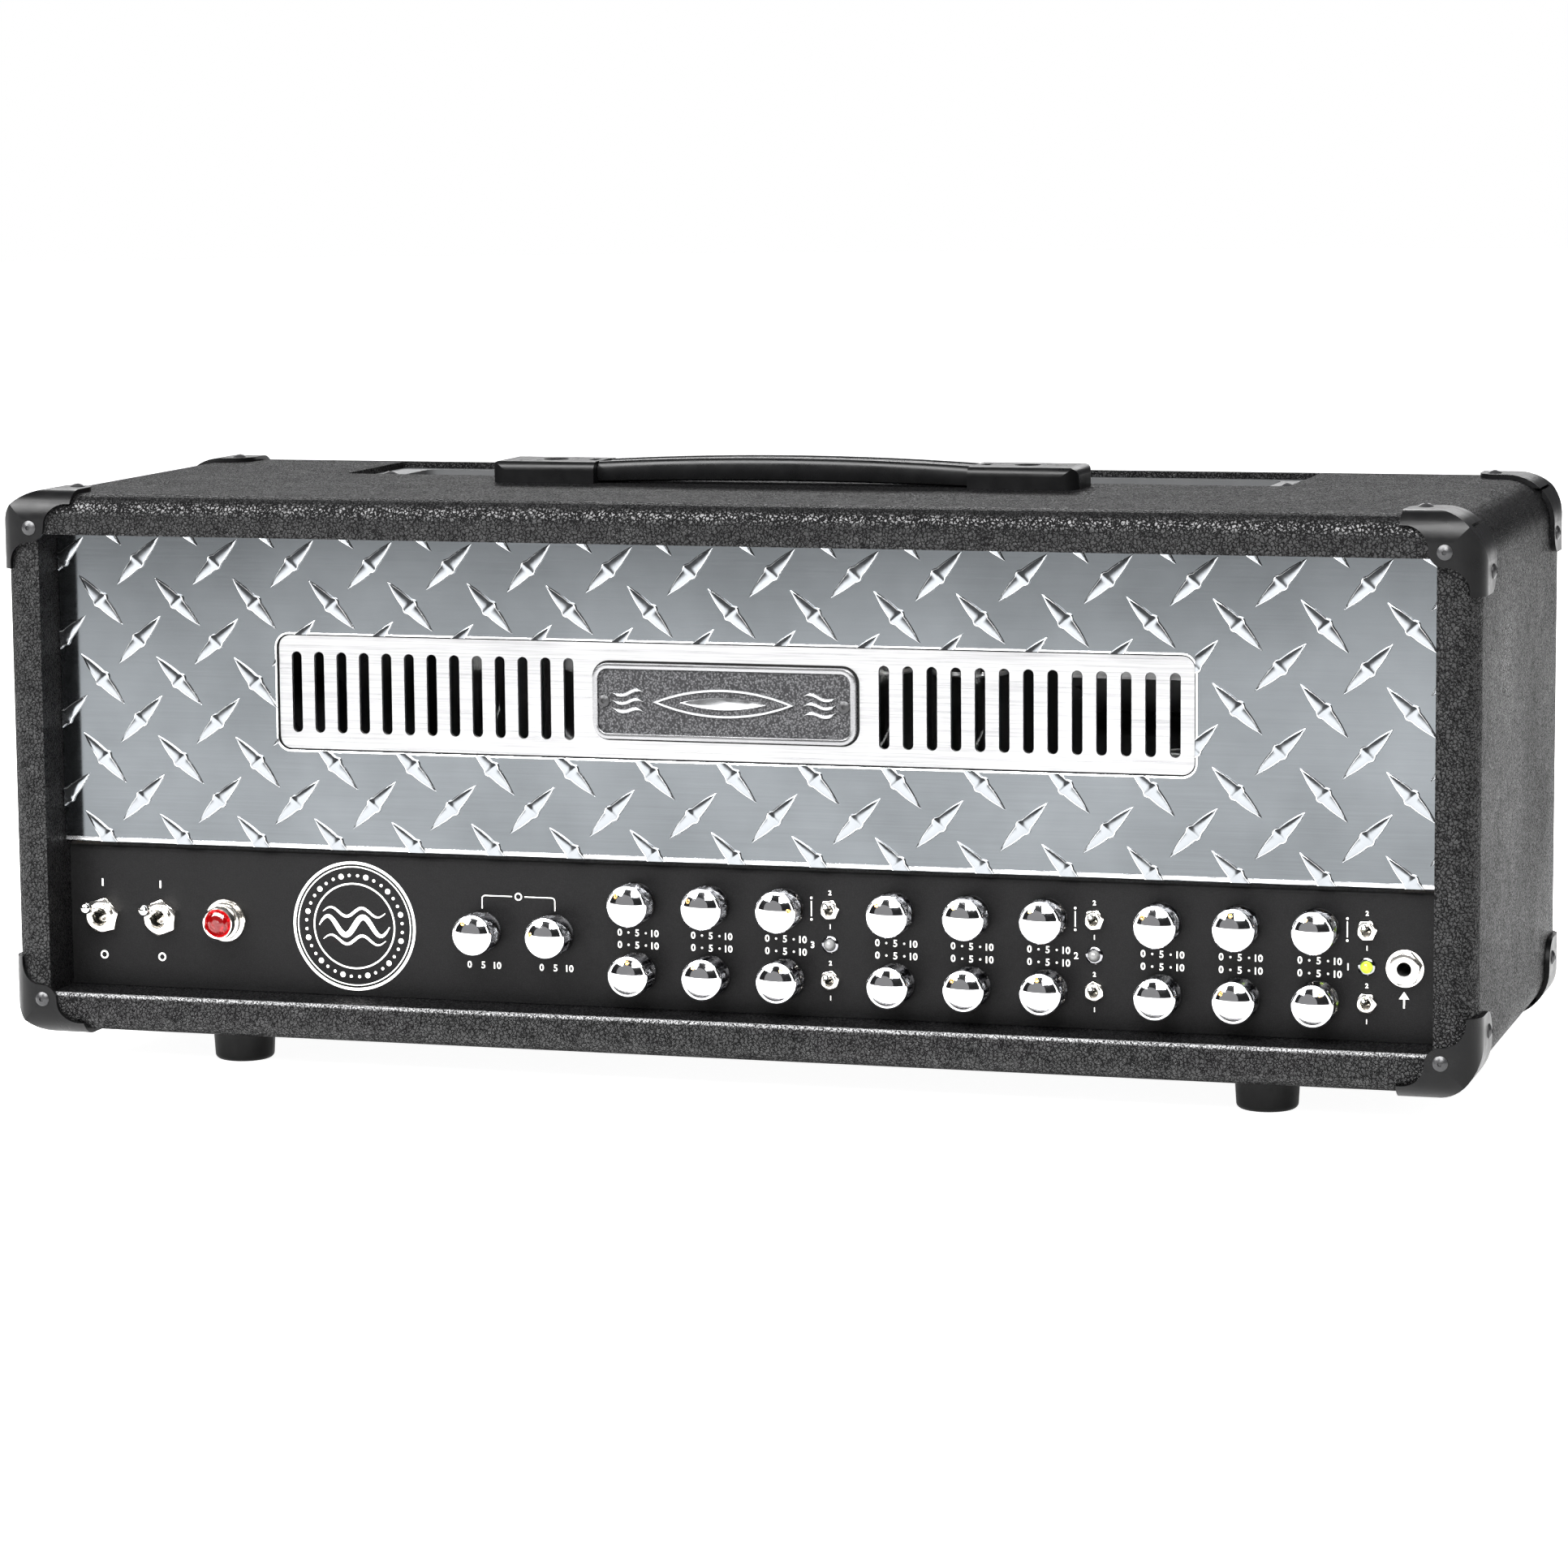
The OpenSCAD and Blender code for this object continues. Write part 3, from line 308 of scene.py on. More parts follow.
def board():
    s = Surface("solder_mask", (0.03, 0.13, 0.06), 0.3)
    tracks = s.cells(70, s.space((1, 3, 1)), "DISTANCE_TO_EDGE")
    s.colour(tracks, [(0.02, (0.06, 0.22, 0.10)), (0.08, (0.02, 0.10, 0.045))])
    s.bump(tracks, 0.3, 0.1)
    s.rough(s.noise(200, 3), 0.22, 0.4)
    return s.mat


COVERING = covering()
# painted highlight and shade: the tread sheet, the lug edges and the lug tops are copies of one
# aluminium; the near-white copy paints the highlights on the lug outlines and the sheet's edges, the
# darker copies paint the shade on the sheet and the lug tops
TREAD = brushed("tread_sheet", (0.1, 0.107, 0.113), (0.064, 0.069, 0.073), 0.07, 0.14, 0.1, wear=0.7)
LIT_TREAD_METAL = polished("tread_lit_edge", (0.88, 0.89, 0.90), 0.2, 0.1)
SHADED_LUG_TOP = polished("tread_lug_top_shaded", (0.2, 0.21, 0.22), 0.08, 0.1)
BRUSHED = brushed("brushed_plate", (0.4, 0.4, 0.4), (0.22, 0.22, 0.225), 0.26, 0.42, 0.2, wear=0.25)
BADGE_RIM = brushed("badge_metal", (0.25, 0.25, 0.254), (0.17, 0.17, 0.174), 0.2, 0.34)
SILVER = polished("badge_silver", (0.36, 0.365, 0.37), 0.16, 0.1)
BADGE_FIELD = pebble()
PANEL = panel_paint()
GRILLE = satin_paint("grille_black", (0.006, 0.006, 0.006), 0.4)
TRAY = satin_paint("tray_paint", (0.03, 0.031, 0.032), 0.5, 900, 0.04, 0.25, 0.35)
STRAP = moulded("strap_vinyl", (0.0022, 0.0022, 0.0023), 0.28, 0.08, 0.15)
MOULDED = moulded("moulded_black", (0.002, 0.002, 0.0021), 0.32, 0.08, 0.12)
SCREW = polished("screw_black", (0.022, 0.022, 0.023), 0.26, 0.15, 0.5)
RUBBER = moulded("foot_rubber", (0.003, 0.003, 0.003), 0.5, 0.1, 0.12)
LACQUER = laminated()
CHASSIS = plated("chassis_metal", (0.15, 0.153, 0.157))
SHIELD = brushed("shield_metal", (0.7, 0.71, 0.72), (0.55, 0.56, 0.57), 0.25, 0.4, 0.1, "z")
BAKELITE = moulded("socket_brown", (0.07, 0.032, 0.016), 0.32, 0.08)
BOARD = board()
POT = plated("pot_metal", (0.58, 0.58, 0.57))
NICKEL = polished("nickel", (0.82, 0.79, 0.74), 0.08, 0.12)
INLET = moulded("inlet_plastic", (0.013, 0.013, 0.013), 0.38)
WOOD = wood()
CHROME = polished("knob_chrome", (0.90, 0.90, 0.91), 0.03, 0.05)
# painted shade: a copy of the knob chrome with a dark base colour, for the dark studio that the knurled
# skirts mirror; the lamp collars use it too
SHADED_CHROME = polished("chrome_painted_dark", (0.24, 0.24, 0.25), 0.06, 0.08)
BRASS = polished("pointer_brass", (0.86, 0.50, 0.16), 0.12, 0.1)
LEVER = polished("lever_chrome", (0.88, 0.87, 0.85), 0.05, 0.08)
INK = ink()
BULB = glass("tube_glass")
PLATE_GREY = satin_paint("tube_plate", (0.10, 0.10, 0.105), 0.5)
GETTER = polished("getter", (0.55, 0.55, 0.56), 0.12, 0.1)
JEWEL = glass("jewel_glass", (0.8, 0.014, 0.02), 0.02,
              Emission_Color=(0.9, 0.01, 0.016, 1), Emission_Strength=0.2)
LENS = polished("lamp_clear", (0.2, 0.2, 0.2), 0.1, 0.1, 0.0)
LENS.node_tree.nodes["Principled BSDF"].inputs["Transmission Weight"].default_value = 0.45
LIT = glass("lamp_lit", (0.7, 0.95, 0.1), 0.15,
            Emission_Color=(0.62, 0.95, 0.06, 1), Emission_Strength=0.95)

FINISH = {
    COVERING: "cabinet_top cabinet_bottom cabinet_left_side cabinet_right_side",
    WOOD: "grille_cleats", TREAD: "diamond_plate", BRUSHED: "vent_plate", BADGE_RIM: "name_badge",
    CHASSIS: "chassis", PANEL: "control_panel", GRILLE: "rear_grille", TRAY: "top_vent_tray",
    STRAP: "handle_strap", MOULDED: "handle_end_caps corner_protectors", SCREW: "cabinet_screws",
    RUBBER: "feet", LACQUER: "power_transformer output_transformer choke",
    BULB: "power_tubes rectifier_tubes", SHIELD: "preamp_tubes", BAKELITE: "tube_sockets",
    BOARD: "circuit_board", POT: "potentiometers", INLET: "mains_inlet", JEWEL: "lamp_lenses",
    NICKEL: "toggle_switches jacks panel_nuts lamp_bezels",
}
# Width of the bevel, in millimetres
ROUNDED_EDGE = {
    0.2: "circuit_board", 0.25: "diamond_plate vent_plate control_panel toggle_switches",
    0.3: "rear_grille top_vent_tray chassis preamp_tubes", 0.35: "jacks",
    0.4: "cabinet_screws tube_sockets potentiometers", 0.5: "mains_inlet", 0.7: "handle_end_caps",
    0.8: "feet grille_cleats", 1.0: "choke", 1.1: "corner_protectors",
    1.2: "power_transformer output_transformer",
}
finish_of = {name: look for look, names in FINISH.items() for name in names.split()}
edge_of = {name: width for width, names in ROUNDED_EDGE.items() for name in names.split()}
for name, node in nodes.items():
    moving = LEVER if name.startswith("toggle") else CHROME
    node.data.materials.clear()
    node.data.materials.append(finish_of.get(name, moving))
    if name in edge_of:
        edge = node.modifiers.new("edge", "BEVEL")
        edge.width = edge_of[name] * MM
        edge.segments = 2
        edge.limit_method = "ANGLE"
        edge.angle_limit = radians(40)
        edge.use_clamp_overlap = True


# ---- shapes


OPEN = (False, False)


class Form:
    """Collects the faces of one mesh, in millimetres."""

    def __init__(self):
        self.points = []
        self.faces = []
        self.looks = []
        self.flat = []

    def add(self, points, faces, look=0, flat=False, place=None):
        start = len(self.points)
        for p in points:
            p = Vector(p)
            self.points.append(place @ p if place else p)
        for f in faces:
            self.faces.append([start + i for i in f])
            self.looks.append(look)
            self.flat.append(flat)

    def loft(self, loops, look=0, caps=(True, True), place=None):
        """Skins a row of loops that have the same number of points. A loop of one point is a pole."""
        points, rows = [], []
        for loop in loops:
            rows.append(list(range(len(points), len(points) + len(loop))))
            points += loop
        faces = []
        for a, b in zip(rows, rows[1:]):
            n = max(len(a), len(b))
            for i in range(n):
                j = (i + 1) % n
                if len(a) == 1:
                    faces.append([a[0], b[j], b[i]])
                elif len(b) == 1:
                    faces.append([a[i], a[j], b[0]])
                else:
                    faces.append([a[i], a[j], b[j], b[i]])
        if caps[0] and len(rows[0]) > 2:
            faces.append(rows[0][::-1])
        if caps[1] and len(rows[-1]) > 2:
            faces.append(rows[-1])
        self.add(points, faces, look, False, place)

    def turned(self, profile, at=(0, 0), n=48, look=0, axis="y", place=None):
        """Turns (radius, level) pairs about a line along Y or Z through at."""
        loops = []
        for r, level in profile:
            ring = circle(*at, r, level, n if r > 0 else 1)
            loops.append([(x, z, y) for x, y, z in ring] if axis == "z" else ring)
        self.loft(loops, look, OPEN, place)

    def mesh(self, name, looks, sharp=32, weld=False):
        mesh = bpy.data.meshes.new(name)
        mesh.from_pydata([p * MM for p in self.points], [], self.faces)
        for look in looks:
            mesh.materials.append(look)
        for face, look, flat in zip(mesh.polygons, self.looks, self.flat):
            face.material_index = look
            face.use_smooth = not flat
        work = bmesh.new()
        work.from_mesh(mesh)
        if weld:
            bmesh.ops.remove_doubles(work, verts=work.verts, dist=1e-6)
        bmesh.ops.recalc_face_normals(work, faces=work.faces)
        work.to_mesh(mesh)
        work.free()
        mesh.set_sharp_from_angle(angle=radians(sharp))
        return mesh

    def build(self, name, looks, slot, replaces=(), sharp=32, weld=False):
        """Puts the mesh on the cabinet."""
        put(name, self.mesh(name, looks, sharp, weld), "cabinet", replaces)


def placed(name, data):
    thing = bpy.data.objects.new(name, data)
    bpy.context.scene.collection.objects.link(thing)
    return thing


def put(name, mesh, body, replaces=(), at=None):
    piece = placed(name, mesh)
    if at is not None:
        piece.matrix_world = at
    bpy.context.view_layer.update()
    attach(piece, body)
    if replaces:
        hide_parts(*replaces)


def circle(x, z, r, level, n, turn=0.0):
    angles = [TAU * i / n + turn for i in range(n)]
    return [(x + r * sin(a), level, z + r * cos(a)) for a in angles]


def quarter(n):
    """The angles inside a quarter turn that is split into n."""
    return [pi / 2 * i / n for i in range(1, n)]


def rounded(size, level, inset):
    """A rounded rectangle in X and Z, centred on the window, at a level along Y."""
    w, h, r = size[0] / 2 - inset, size[1] / 2 - inset, max(size[2] - inset, 0.05)
    steps = 8
    loop = []
    for cx, cz, start in ((1, 1, 0), (1, -1, 1), (-1, -1, 2), (-1, 1, 3)):
        for i in range(steps + 1):
            a = pi / 2 * (start + i / steps)
            x, z = cx * (w - r) + r * sin(a), cz * (h - r) + r * cos(a)
            loop.append((x, level, WINDOW_Z + z))
    return loop


def band(size, back, rows):
    """Rounded rectangles at (height in front of the back, inset) pairs."""
    return [rounded(size, back - height, inset) for height, inset in rows]


def hex_nut(form, x, z, back, front, flats, hole, turn, ahead=-1):
    """A chamfered hex nut around Y. ahead is the way its face looks along Y."""
    n = 72
    half = flats / 2
    face_r = half * 0.95

    def reach(i):
        a = (degrees(TAU * i / n + turn) + 30) % 60 - 30
        return half / cos(radians(a))

    def ring(level_of, radius_of):
        angles = [TAU * i / n for i in range(n)]
        return [(x + radius_of(i) * sin(a), level_of(i), z + radius_of(i) * cos(a))
                for i, a in enumerate(angles)]

    slope = tan(radians(30))
    form.loft([
        ring(lambda i: front, lambda i: hole),
        ring(lambda i: front, lambda i: face_r),
        ring(lambda i: front - ahead * (reach(i) - face_r) * slope, reach),
        ring(lambda i: back, reach),
        ring(lambda i: back, lambda i: hole),
        ring(lambda i: front, lambda i: hole),
    ], 0, OPEN)


# ---- tread lozenges

LUG_HALF, LUG_WIDE, LUG_HIGH, LUG_EAR = 15.5, 3.0, 1.35, 0.9


def lozenge():
    """One raised lozenge that lies along X, with an ear at each side. Its height is along -Y."""
    form = Form()
    ends = [0.97, 0.9, 0.8, 0.68, 0.55, 0.42, 0.3, 0.2]
    middle = [0.16, 0.135, 0.11, 0.085, 0.06, 0.03]
    along = [-u for u in ends + middle] + [0.0] + (ends + middle)[::-1]
    rows, points = [], []
    for u in along:
        ear = max(0.0, 1 - (u / 0.14) ** 2) ** 1.4
        cross = max(0.0, 1 - abs(u) / 0.09)
        wide = LUG_WIDE * (1 - abs(u) ** 1.75) + 0.12 + LUG_EAR * ear
        high = LUG_HIGH * (0.45 + 0.55 * (1 - abs(u) ** 2.4))
        shoulder = 0.86 + 0.13 * cross
        slope = min(0.5, 0.42 / wide)
        half = [(1.0, 0.0), (1 - 0.55 * slope, 0.62 * shoulder), (1 - slope, shoulder),
                (1 - slope - 0.08, shoulder + 0.03)]
        section = [(-t, h) for t, h in half] + [(0.0, 1.0)] + half[::-1]
        rows.append(list(range(len(points), len(points) + len(section))))
        points += [(u * LUG_HALF, 0.05 - high * h, wide * t) for t, h in section]
    edge, top = [], []
    for a, b in zip(rows, rows[1:]):
        for k in range(len(a) - 1):
            (top if 3 <= k <= 4 else edge).append([a[k], a[k + 1], b[k + 1], b[k]])
        edge.append([a[-1], a[0], b[0], b[-1]])
    tips = [len(points), len(points) + 1]
    points += [(-LUG_HALF, 0.0, 0), (LUG_HALF, 0.0, 0)]
    for row, tip in ((rows[0], tips[0]), (rows[-1], tips[1])):
        for k in range(len(row)):
            edge.append([row[k], row[(k + 1) % len(row)], tip])
    form.add(points, edge)
    form.add(points, top, 1)
    return form


def planes_round(x0, x1, z0, z1):
    """The left, right, lower and upper sides of a rectangle, each a place and the way out."""
    return [(Vector((x0, 0, 0)), Vector((-1, 0, 0))), (Vector((x1, 0, 0)), Vector((1, 0, 0))),
            (Vector((0, 0, z0)), Vector((0, 0, -1))), (Vector((0, 0, z1)), Vector((0, 0, 1)))]


def flipped(plane):
    return plane[0], -plane[1]


def beyond(plane, spots):
    """How far the nearest and the farthest of the spots lie beyond a plane."""
    reach = [(p - plane[0]).dot(plane[1]) for p in spots]
    return min(reach), max(reach)


def cut(work, place, out):
    """Removes what lies beyond the plane on the side of out, and closes the cut."""
    geometry = work.verts[:] + work.edges[:] + work.faces[:]
    result = bmesh.ops.bisect_plane(work, geom=geometry, plane_co=place, plane_no=out,
                                    clear_outer=True)
    edges = [e for e in result["geom_cut"] if isinstance(e, bmesh.types.BMEdge)]
    if edges:
        bmesh.ops.holes_fill(work, edges=edges, sides=0)


def lay_lozenges():
    base = lozenge()
    sheet = planes_round(-319.5, 319.5, 102.1, 245.2)
    window = planes_round(-212.7, 212.7, WINDOW_Z - 26.45, WINDOW_Z + 26.45)
    left, right, below, above = window
    round_window = [[flipped(above)], [flipped(below)],
                    [above, below, flipped(left)], [above, below, flipped(right)]]
    pitch = 37.85
    places = []
    for k in range(-2, 19):
        for z in (232.6, 196.3, 159.8, 123.4):
            places.append((-280.6 + k * pitch, z, 45))
        for z in (250.7, 214.3, 177.9, 141.5, 105.1):
            places.append((-299.55 + k * pitch, z, -46))
    total = Form()
    for index, (x, z, tilt) in enumerate(places):
        wobble = 1.6 * sin(index * 12.9898)
        lean = Matrix.Rotation(-radians(tilt + wobble), 4, "Y")
        move = Matrix.Translation((x + 0.6, PLATE_Y, z - 0.3)) @ lean
        spots = [move @ p for p in base.points]
        if any(beyond(side, spots)[0] > 0 for side in sheet):
            continue
        parts = [[side for side in sheet if beyond(side, spots)[1] > 0]]
        if all(beyond(side, spots)[0] < 0 for side in window):
            parts = [parts[0] + more for more in round_window]
        for planes in parts:
            if not planes:
                for look in (0, 1):
                    total.add(spots, [f for f, k in zip(base.faces, base.looks) if k == look], look)
                continue
            work = bmesh.new()
            made = [work.verts.new(p) for p in spots]
            for f, look in zip(base.faces, base.looks):
                work.faces.new([made[i] for i in f]).material_index = look
            for place, out in planes:
                cut(work, place, out)
            if work.faces:
                work.verts.index_update()
                left_over = [v.co.copy() for v in work.verts]
                for look in (0, 1):
                    faces = [[v.index for v in f.verts] for f in work.faces if f.material_index == look]
                    total.add(left_over, faces, look)
            work.free()
    total.build("tread_lozenges", [LIT_TREAD_METAL, SHADED_LUG_TOP], "tread_plate", sharp=16, weld=True)


lay_lozenges()


def sheet_edges():
    """The turned-in lower edge of the tread sheet and the bright polished edge round its window, both
    in the near-white metal that also paints their highlight, and a black strip of painted shadow in the
    gap round the window.
    """
    form = Form()
    z0, y = 102.0, PLATE_Y
    turned_in = [(-0.9, 0.02), (-0.1, 0.05), (0.18, 0.5), (0.22, 1.3), (0.12, 1.9), (-0.1, 2.1)]
    sides = [[(x, y - out, z0 + up) for out, up in turned_in] for x in (-319.6, 319.6)]
    form.loft(sides, 0, OPEN)
    worn = [(-0.25, 0.01), (-0.05, -0.03), (0.14, -0.3), (0.14, -0.75), (-0.1, -1.0)]
    form.loft(band(WINDOW, y, worn), 0, OPEN)
    form.build("tread_edges", [LIT_TREAD_METAL], "tread_plate")
    # painted shadow: a thin black strip where the window meets the vent plate, standing in for the
    # shadow gap
    painted_shadow_gap = Form()
    shadow_rows = [(-1.28, 0.03), (-1.1, 0.05), (-1.1, 0.6), (-1.28, 0.65)]
    painted_shadow_gap.loft(band(WINDOW, y, shadow_rows), 0, OPEN)
    painted_shadow_gap.build("window_painted_shadow", [RUBBER], "grille_black")


sheet_edges()


# ---- badge


def badge():
    form = Form()
    rim, field = VENT_Y - 3.2, VENT_Y - 2.2
    rows = [(0, 0), (2.7, 0), (3.08, 0.15), (3.2, 0.5), (3.2, 2.1), (3.05, 2.4), (2.2, 2.75)]
    form.loft(band(BADGE, VENT_Y, rows), 0, (True, False))
    form.loft(band(BADGE, VENT_Y, [(2.2, 2.75), (2.2, 4)]), 1, (False, True))

    def lens(w, h, inset, level):
        n = 40
        w, h = w - 2.4 * inset, h - inset
        r = (w * w / 4 + h * h / 4) / h
        top = [(-w / 2 + w * i / n) for i in range(n + 1)]
        rise = [sqrt(r * r - x * x) - (r - h / 2) for x in top]
        upper = [(x, level, WINDOW_Z + z) for x, z in zip(top, rise)]
        return upper + [(x, level, 2 * WINDOW_Z - z) for x, level, z in upper[-2:0:-1]]

    ring = [(0, field + 0.1), (0, rim + 0.3), (0.5, rim), (2.2, rim), (2.7, rim + 0.5)]
    form.loft([lens(66, 13, inset, level) for inset, level in ring], 2, OPEN)
    form.loft([lens(66, 13, inset, rim + 0.5) for inset in (2.7, 3.4)], 1, (False, True))
    core = [(0, rim + 0.6), (0, rim + 0.15), (1.2, rim)]
    form.loft([lens(40, 5.5, inset, level) for inset, level in core], 2, (False, True))
    for side in (-1, 1):
        for lift in (-4.4, 0, 4.4):
            spine = []
            for i in range(25):
                t = i / 24
                wave = lift * (1 - 0.25 * t) + sin(t * 2.2 * pi)
                spine.append((side * (37 + 15 * t), WINDOW_Z + wave))
            ribbon(form, spine, 1.7, field + 0.1, rim + 0.1, 0.35, 2)
    # painted shadow: a thin black ring on the vent plate round the badge
    form.loft(band(BADGE, VENT_Y, [(0.01, -0.95), (0.12, -0.85), (0.12, 0.1)]), 3, OPEN)
    looks = [BADGE_RIM, BADGE_FIELD, SILVER, RUBBER]
    form.build("badge", looks, "badge_metal", ["name_badge"])


def across(spine):
    """Each (x, z) point of a line, with the unit way across it and its place along it, 0 to 1."""
    rows = []
    for i, (x, z) in enumerate(spine):
        ahead, behind = spine[min(i + 1, len(spine) - 1)], spine[max(i - 1, 0)]
        dx, dz = ahead[0] - behind[0], ahead[1] - behind[1]
        long = hypot(dx, dz)
        rows.append((x, z, -dz / long, dx / long, i / (len(spine) - 1)))
    return rows


def ribbon(form, spine, wide, back, front, bevel, look):
    """A raised line along a spine of (x, z) points, with bevelled edges and pointed ends."""
    loops = []
    for x, z, nx, nz, t in across(spine):
        half = wide / 2 * max(0.12, min(1, 5 * t, 5 * (1 - t)))
        inner = max(half - bevel, half * 0.3)
        section = [(half, back), (half, front + bevel), (inner, front),
                   (-inner, front), (-half, front + bevel), (-half, back)]
        loops.append([(x + nx * out, level, z + nz * out) for out, level in section])
    form.loft(loops, look)


badge()

# ---- knobs

KNOB_BACK, KNOB_SIDE, KNOB_FACE, KNOB_R = -1.0, -14.6, -17.6, 9.4
DOME_R = (KNOB_R**2 + 9) / 6


def dome_level(r):
    return KNOB_FACE + DOME_R - sqrt(DOME_R**2 - r * r)


def knob_mesh():
    form = Form()
    n, rows = 112, 22
    start, end = KNOB_BACK - 0.7, KNOB_SIDE + 0.45
    grid = []
    for j in range(rows + 1):
        level = start + (end - start) * j / rows
        grid.append([((9.38 if (i + j) % 2 else 8.8), TAU * i / n, level) for i in range(n)])
    points = [(r * sin(a), y, r * cos(a)) for row in grid for r, a, y in row]
    faces = []
    for j in range(rows):
        for i in range(n):
            a, b = j * n + i, j * n + (i + 1) % n
            c, d = a + n, b + n
            if (i + j) % 2:
                faces += [[a, b, c], [b, d, c]]
            else:
                faces += [[a, b, d], [a, d, c]]
    form.add(points, faces, 1, True)
    skirt = [(0, 4.0), (3.0, 4.0), (3.0, KNOB_BACK - 4), (6.9, KNOB_BACK - 4), (7.0, KNOB_BACK - 0.2),
             (7.2, KNOB_BACK), (8.6, KNOB_BACK), (8.93, KNOB_BACK - 0.3), (8.93, start)]
    form.turned(skirt, n=96, look=1)
    dome = [(r, dome_level(r)) for r in (7.75, 7.2, 6.4, 5.5, 4.6, 3.7, 2.8, 1.9, 1.0, 0)]
    rim = dome_level(8.35) - 0.12
    edge = [(8.93, end), (9.05, end - 0.05), (9.38, KNOB_SIDE + 0.1), (9.4, KNOB_SIDE - 0.05),
            (9.25, KNOB_SIDE - 0.3), (8.75, rim + 0.1), (8.45, rim), (8.2, rim + 0.05),
            (8.08, rim + 0.32), (7.95, rim + 0.3)]
    form.turned(edge + dome, n=96)
    spot = 6.7
    lean = Matrix.Rotation(-asin(spot / DOME_R), 4, "X")
    seat = Matrix.Translation((0, dome_level(spot), spot)) @ lean
    pointer = [(1.0, 0.3), (1.0, -0.08), (0.9, -0.18), (0.62, -0.18), (0.52, -0.04), (0.42, -0.01),
               (0, -0.01)]
    form.turned(pointer, n=24, look=2, place=seat)
    return form.mesh("knob", [CHROME, SHADED_CHROME, BRASS], 40)


def joints_named(start):
    return [joint for joint in frame["joints"] if joint["name"].startswith(start)]


shared_knob = knob_mesh()
for joint in joints_named("turn_"):
    pointer = radians(150 - joint["range_deg"][1])
    place = Matrix.Translation(Vector(joint["pos_m"])) @ Matrix.Rotation(pointer, 4, "Y")
    body = joint["child"]
    put(body.replace("knob_", "chrome_knob_"), shared_knob, body, [body], place)

# ---- toggles


def lever_mesh(name, long, ball, tip, neck):
    """A bat lever that points along -Y from its pivot at the origin."""
    form = Form()
    profile = [(0, ball)]
    for i in range(1, 10):
        a = pi * i / 10
        r = ball * sin(a)
        level = ball * cos(a)
        if level < -ball * 0.4 and r < neck * 1.4:
            break
        profile.append((r, level))
    neck_end = -long * 0.42
    profile += [(neck * 1.06, -ball * 1.05), (neck, -ball * 1.25), (neck, neck_end)]
    for i in range(1, 9):
        t = i / 8
        smooth = t * t * (3 - 2 * t)
        reach = (-long + tip * 0.55 - neck_end) * t
        profile.append((neck + (tip * 0.86 - neck) * smooth, neck_end + reach))
    for i in range(1, 12):
        a = asin(0.55) - (pi / 2 + asin(0.55)) * i / 11
        profile.append((max(0.0, tip * cos(a)) if i < 11 else 0.0, -long + tip * sin(a)))
    form.turned(profile, n=40)
    return form.mesh(name, [LEVER], 40)


bat = lever_mesh("bat_lever", 21, 3.6, 2.75, 1.6)
mini = lever_mesh("mini_lever", 9, 1.9, 1.35, 0.95)
for joint in joints_named("flip_"):
    body = joint["child"]
    large = body in LARGE_TOGGLES
    tilt = Matrix.Rotation(-radians(LARGE_TILT if large else SMALL_TILT), 4, "X")
    place = Matrix.Translation(Vector(joint["pos_m"])) @ tilt
    lever = bat if large else mini
    put(body.replace("toggle_", "lever_"), lever, body, [body], place)

# ---- nuts and bushings


def across_panel(joint):
    """A joint's place across and up the panel, in millimetres."""
    return joint["pos_m"][0] * 1000, joint["pos_m"][2] * 1000


def nuts():
    form = Form()
    for joint in frame["joints"]:
        x, z = across_panel(joint)
        seed = sin(x * 0.7 + z * 1.3) * 3
        if joint["name"].startswith("turn_"):
            hex_nut(form, x, z, PANEL_Y, PANEL_Y - 2, 10, 3.5, seed)
        elif joint["child"] in LARGE_TOGGLES:
            turn = 0.25 if joint["child"] == "toggle_power" else 0.4
            hex_nut(form, x, z, PANEL_Y, PANEL_Y - 3, 15, 5.95, turn)
        else:
            hex_nut(form, x, z, PANEL_Y, PANEL_Y - 2, 8, 3.1, seed)
    hex_nut(form, JACK_X, ROW_Z, PANEL_Y - 0.8, PANEL_Y - 3, 13.4, 4.75, 0.2)
    for i in range(6):
        hex_nut(form, 100 + 32 * i, 68, 96.75, 98.95, 13.4, 4.75, 0.3 * i, 1)
    form.build("nuts", [NICKEL], "nickel", ["panel_nuts"])


def threads():
    """Fine thread turns and a bevelled mouth on each bushing, and the jack's dark well."""
    form = Form()
    for joint in joints_named("flip_"):
        large = joint["child"] in LARGE_TOGGLES
        outer, mouth, face = (5.95, 4.4, PANEL_Y - 5.5) if large else (3.1, 2.5, PANEL_Y - 3.5)
        pitch = 0.5 if large else 0.35
        front_of_nut = PANEL_Y - (3 if large else 2)
        profile = [(mouth - 0.35, face + 2.2), (mouth + 0.1, face + 0.25), (mouth + 0.35, face - 0.02),
                   (outer - 0.45, face - 0.02), (outer - 0.12, face + 0.25)]
        level = face + 0.3
        while level < front_of_nut - pitch:
            profile += [(outer + 0.02, level), (outer - 0.14, level + pitch / 2)]
            level += pitch
        profile.append((outer + 0.02, front_of_nut))
        form.turned(profile, across_panel(joint), 40)
    face = PANEL_Y - 3.5
    mouth = [(3.25, 3), (3.25, 0.5), (3.7, -0.02), (4.3, -0.02)]
    turns = [(4.6 if i % 2 else 4.77, 0.4 + 0.25 * i) for i in range(7)]
    form.turned([(r, face + deep) for r, deep in mouth + turns], (JACK_X, ROW_Z), 48)
    well = [(3.24, 0.9), (3.08, 1.0), (3.08, 20), (0, 20)]
    form.turned([(r, face + deep) for r, deep in well], (JACK_X, ROW_Z), 40, 1)
    form.build("bushing_faces", [NICKEL, INLET], "nickel")


nuts()

# ---- lamps


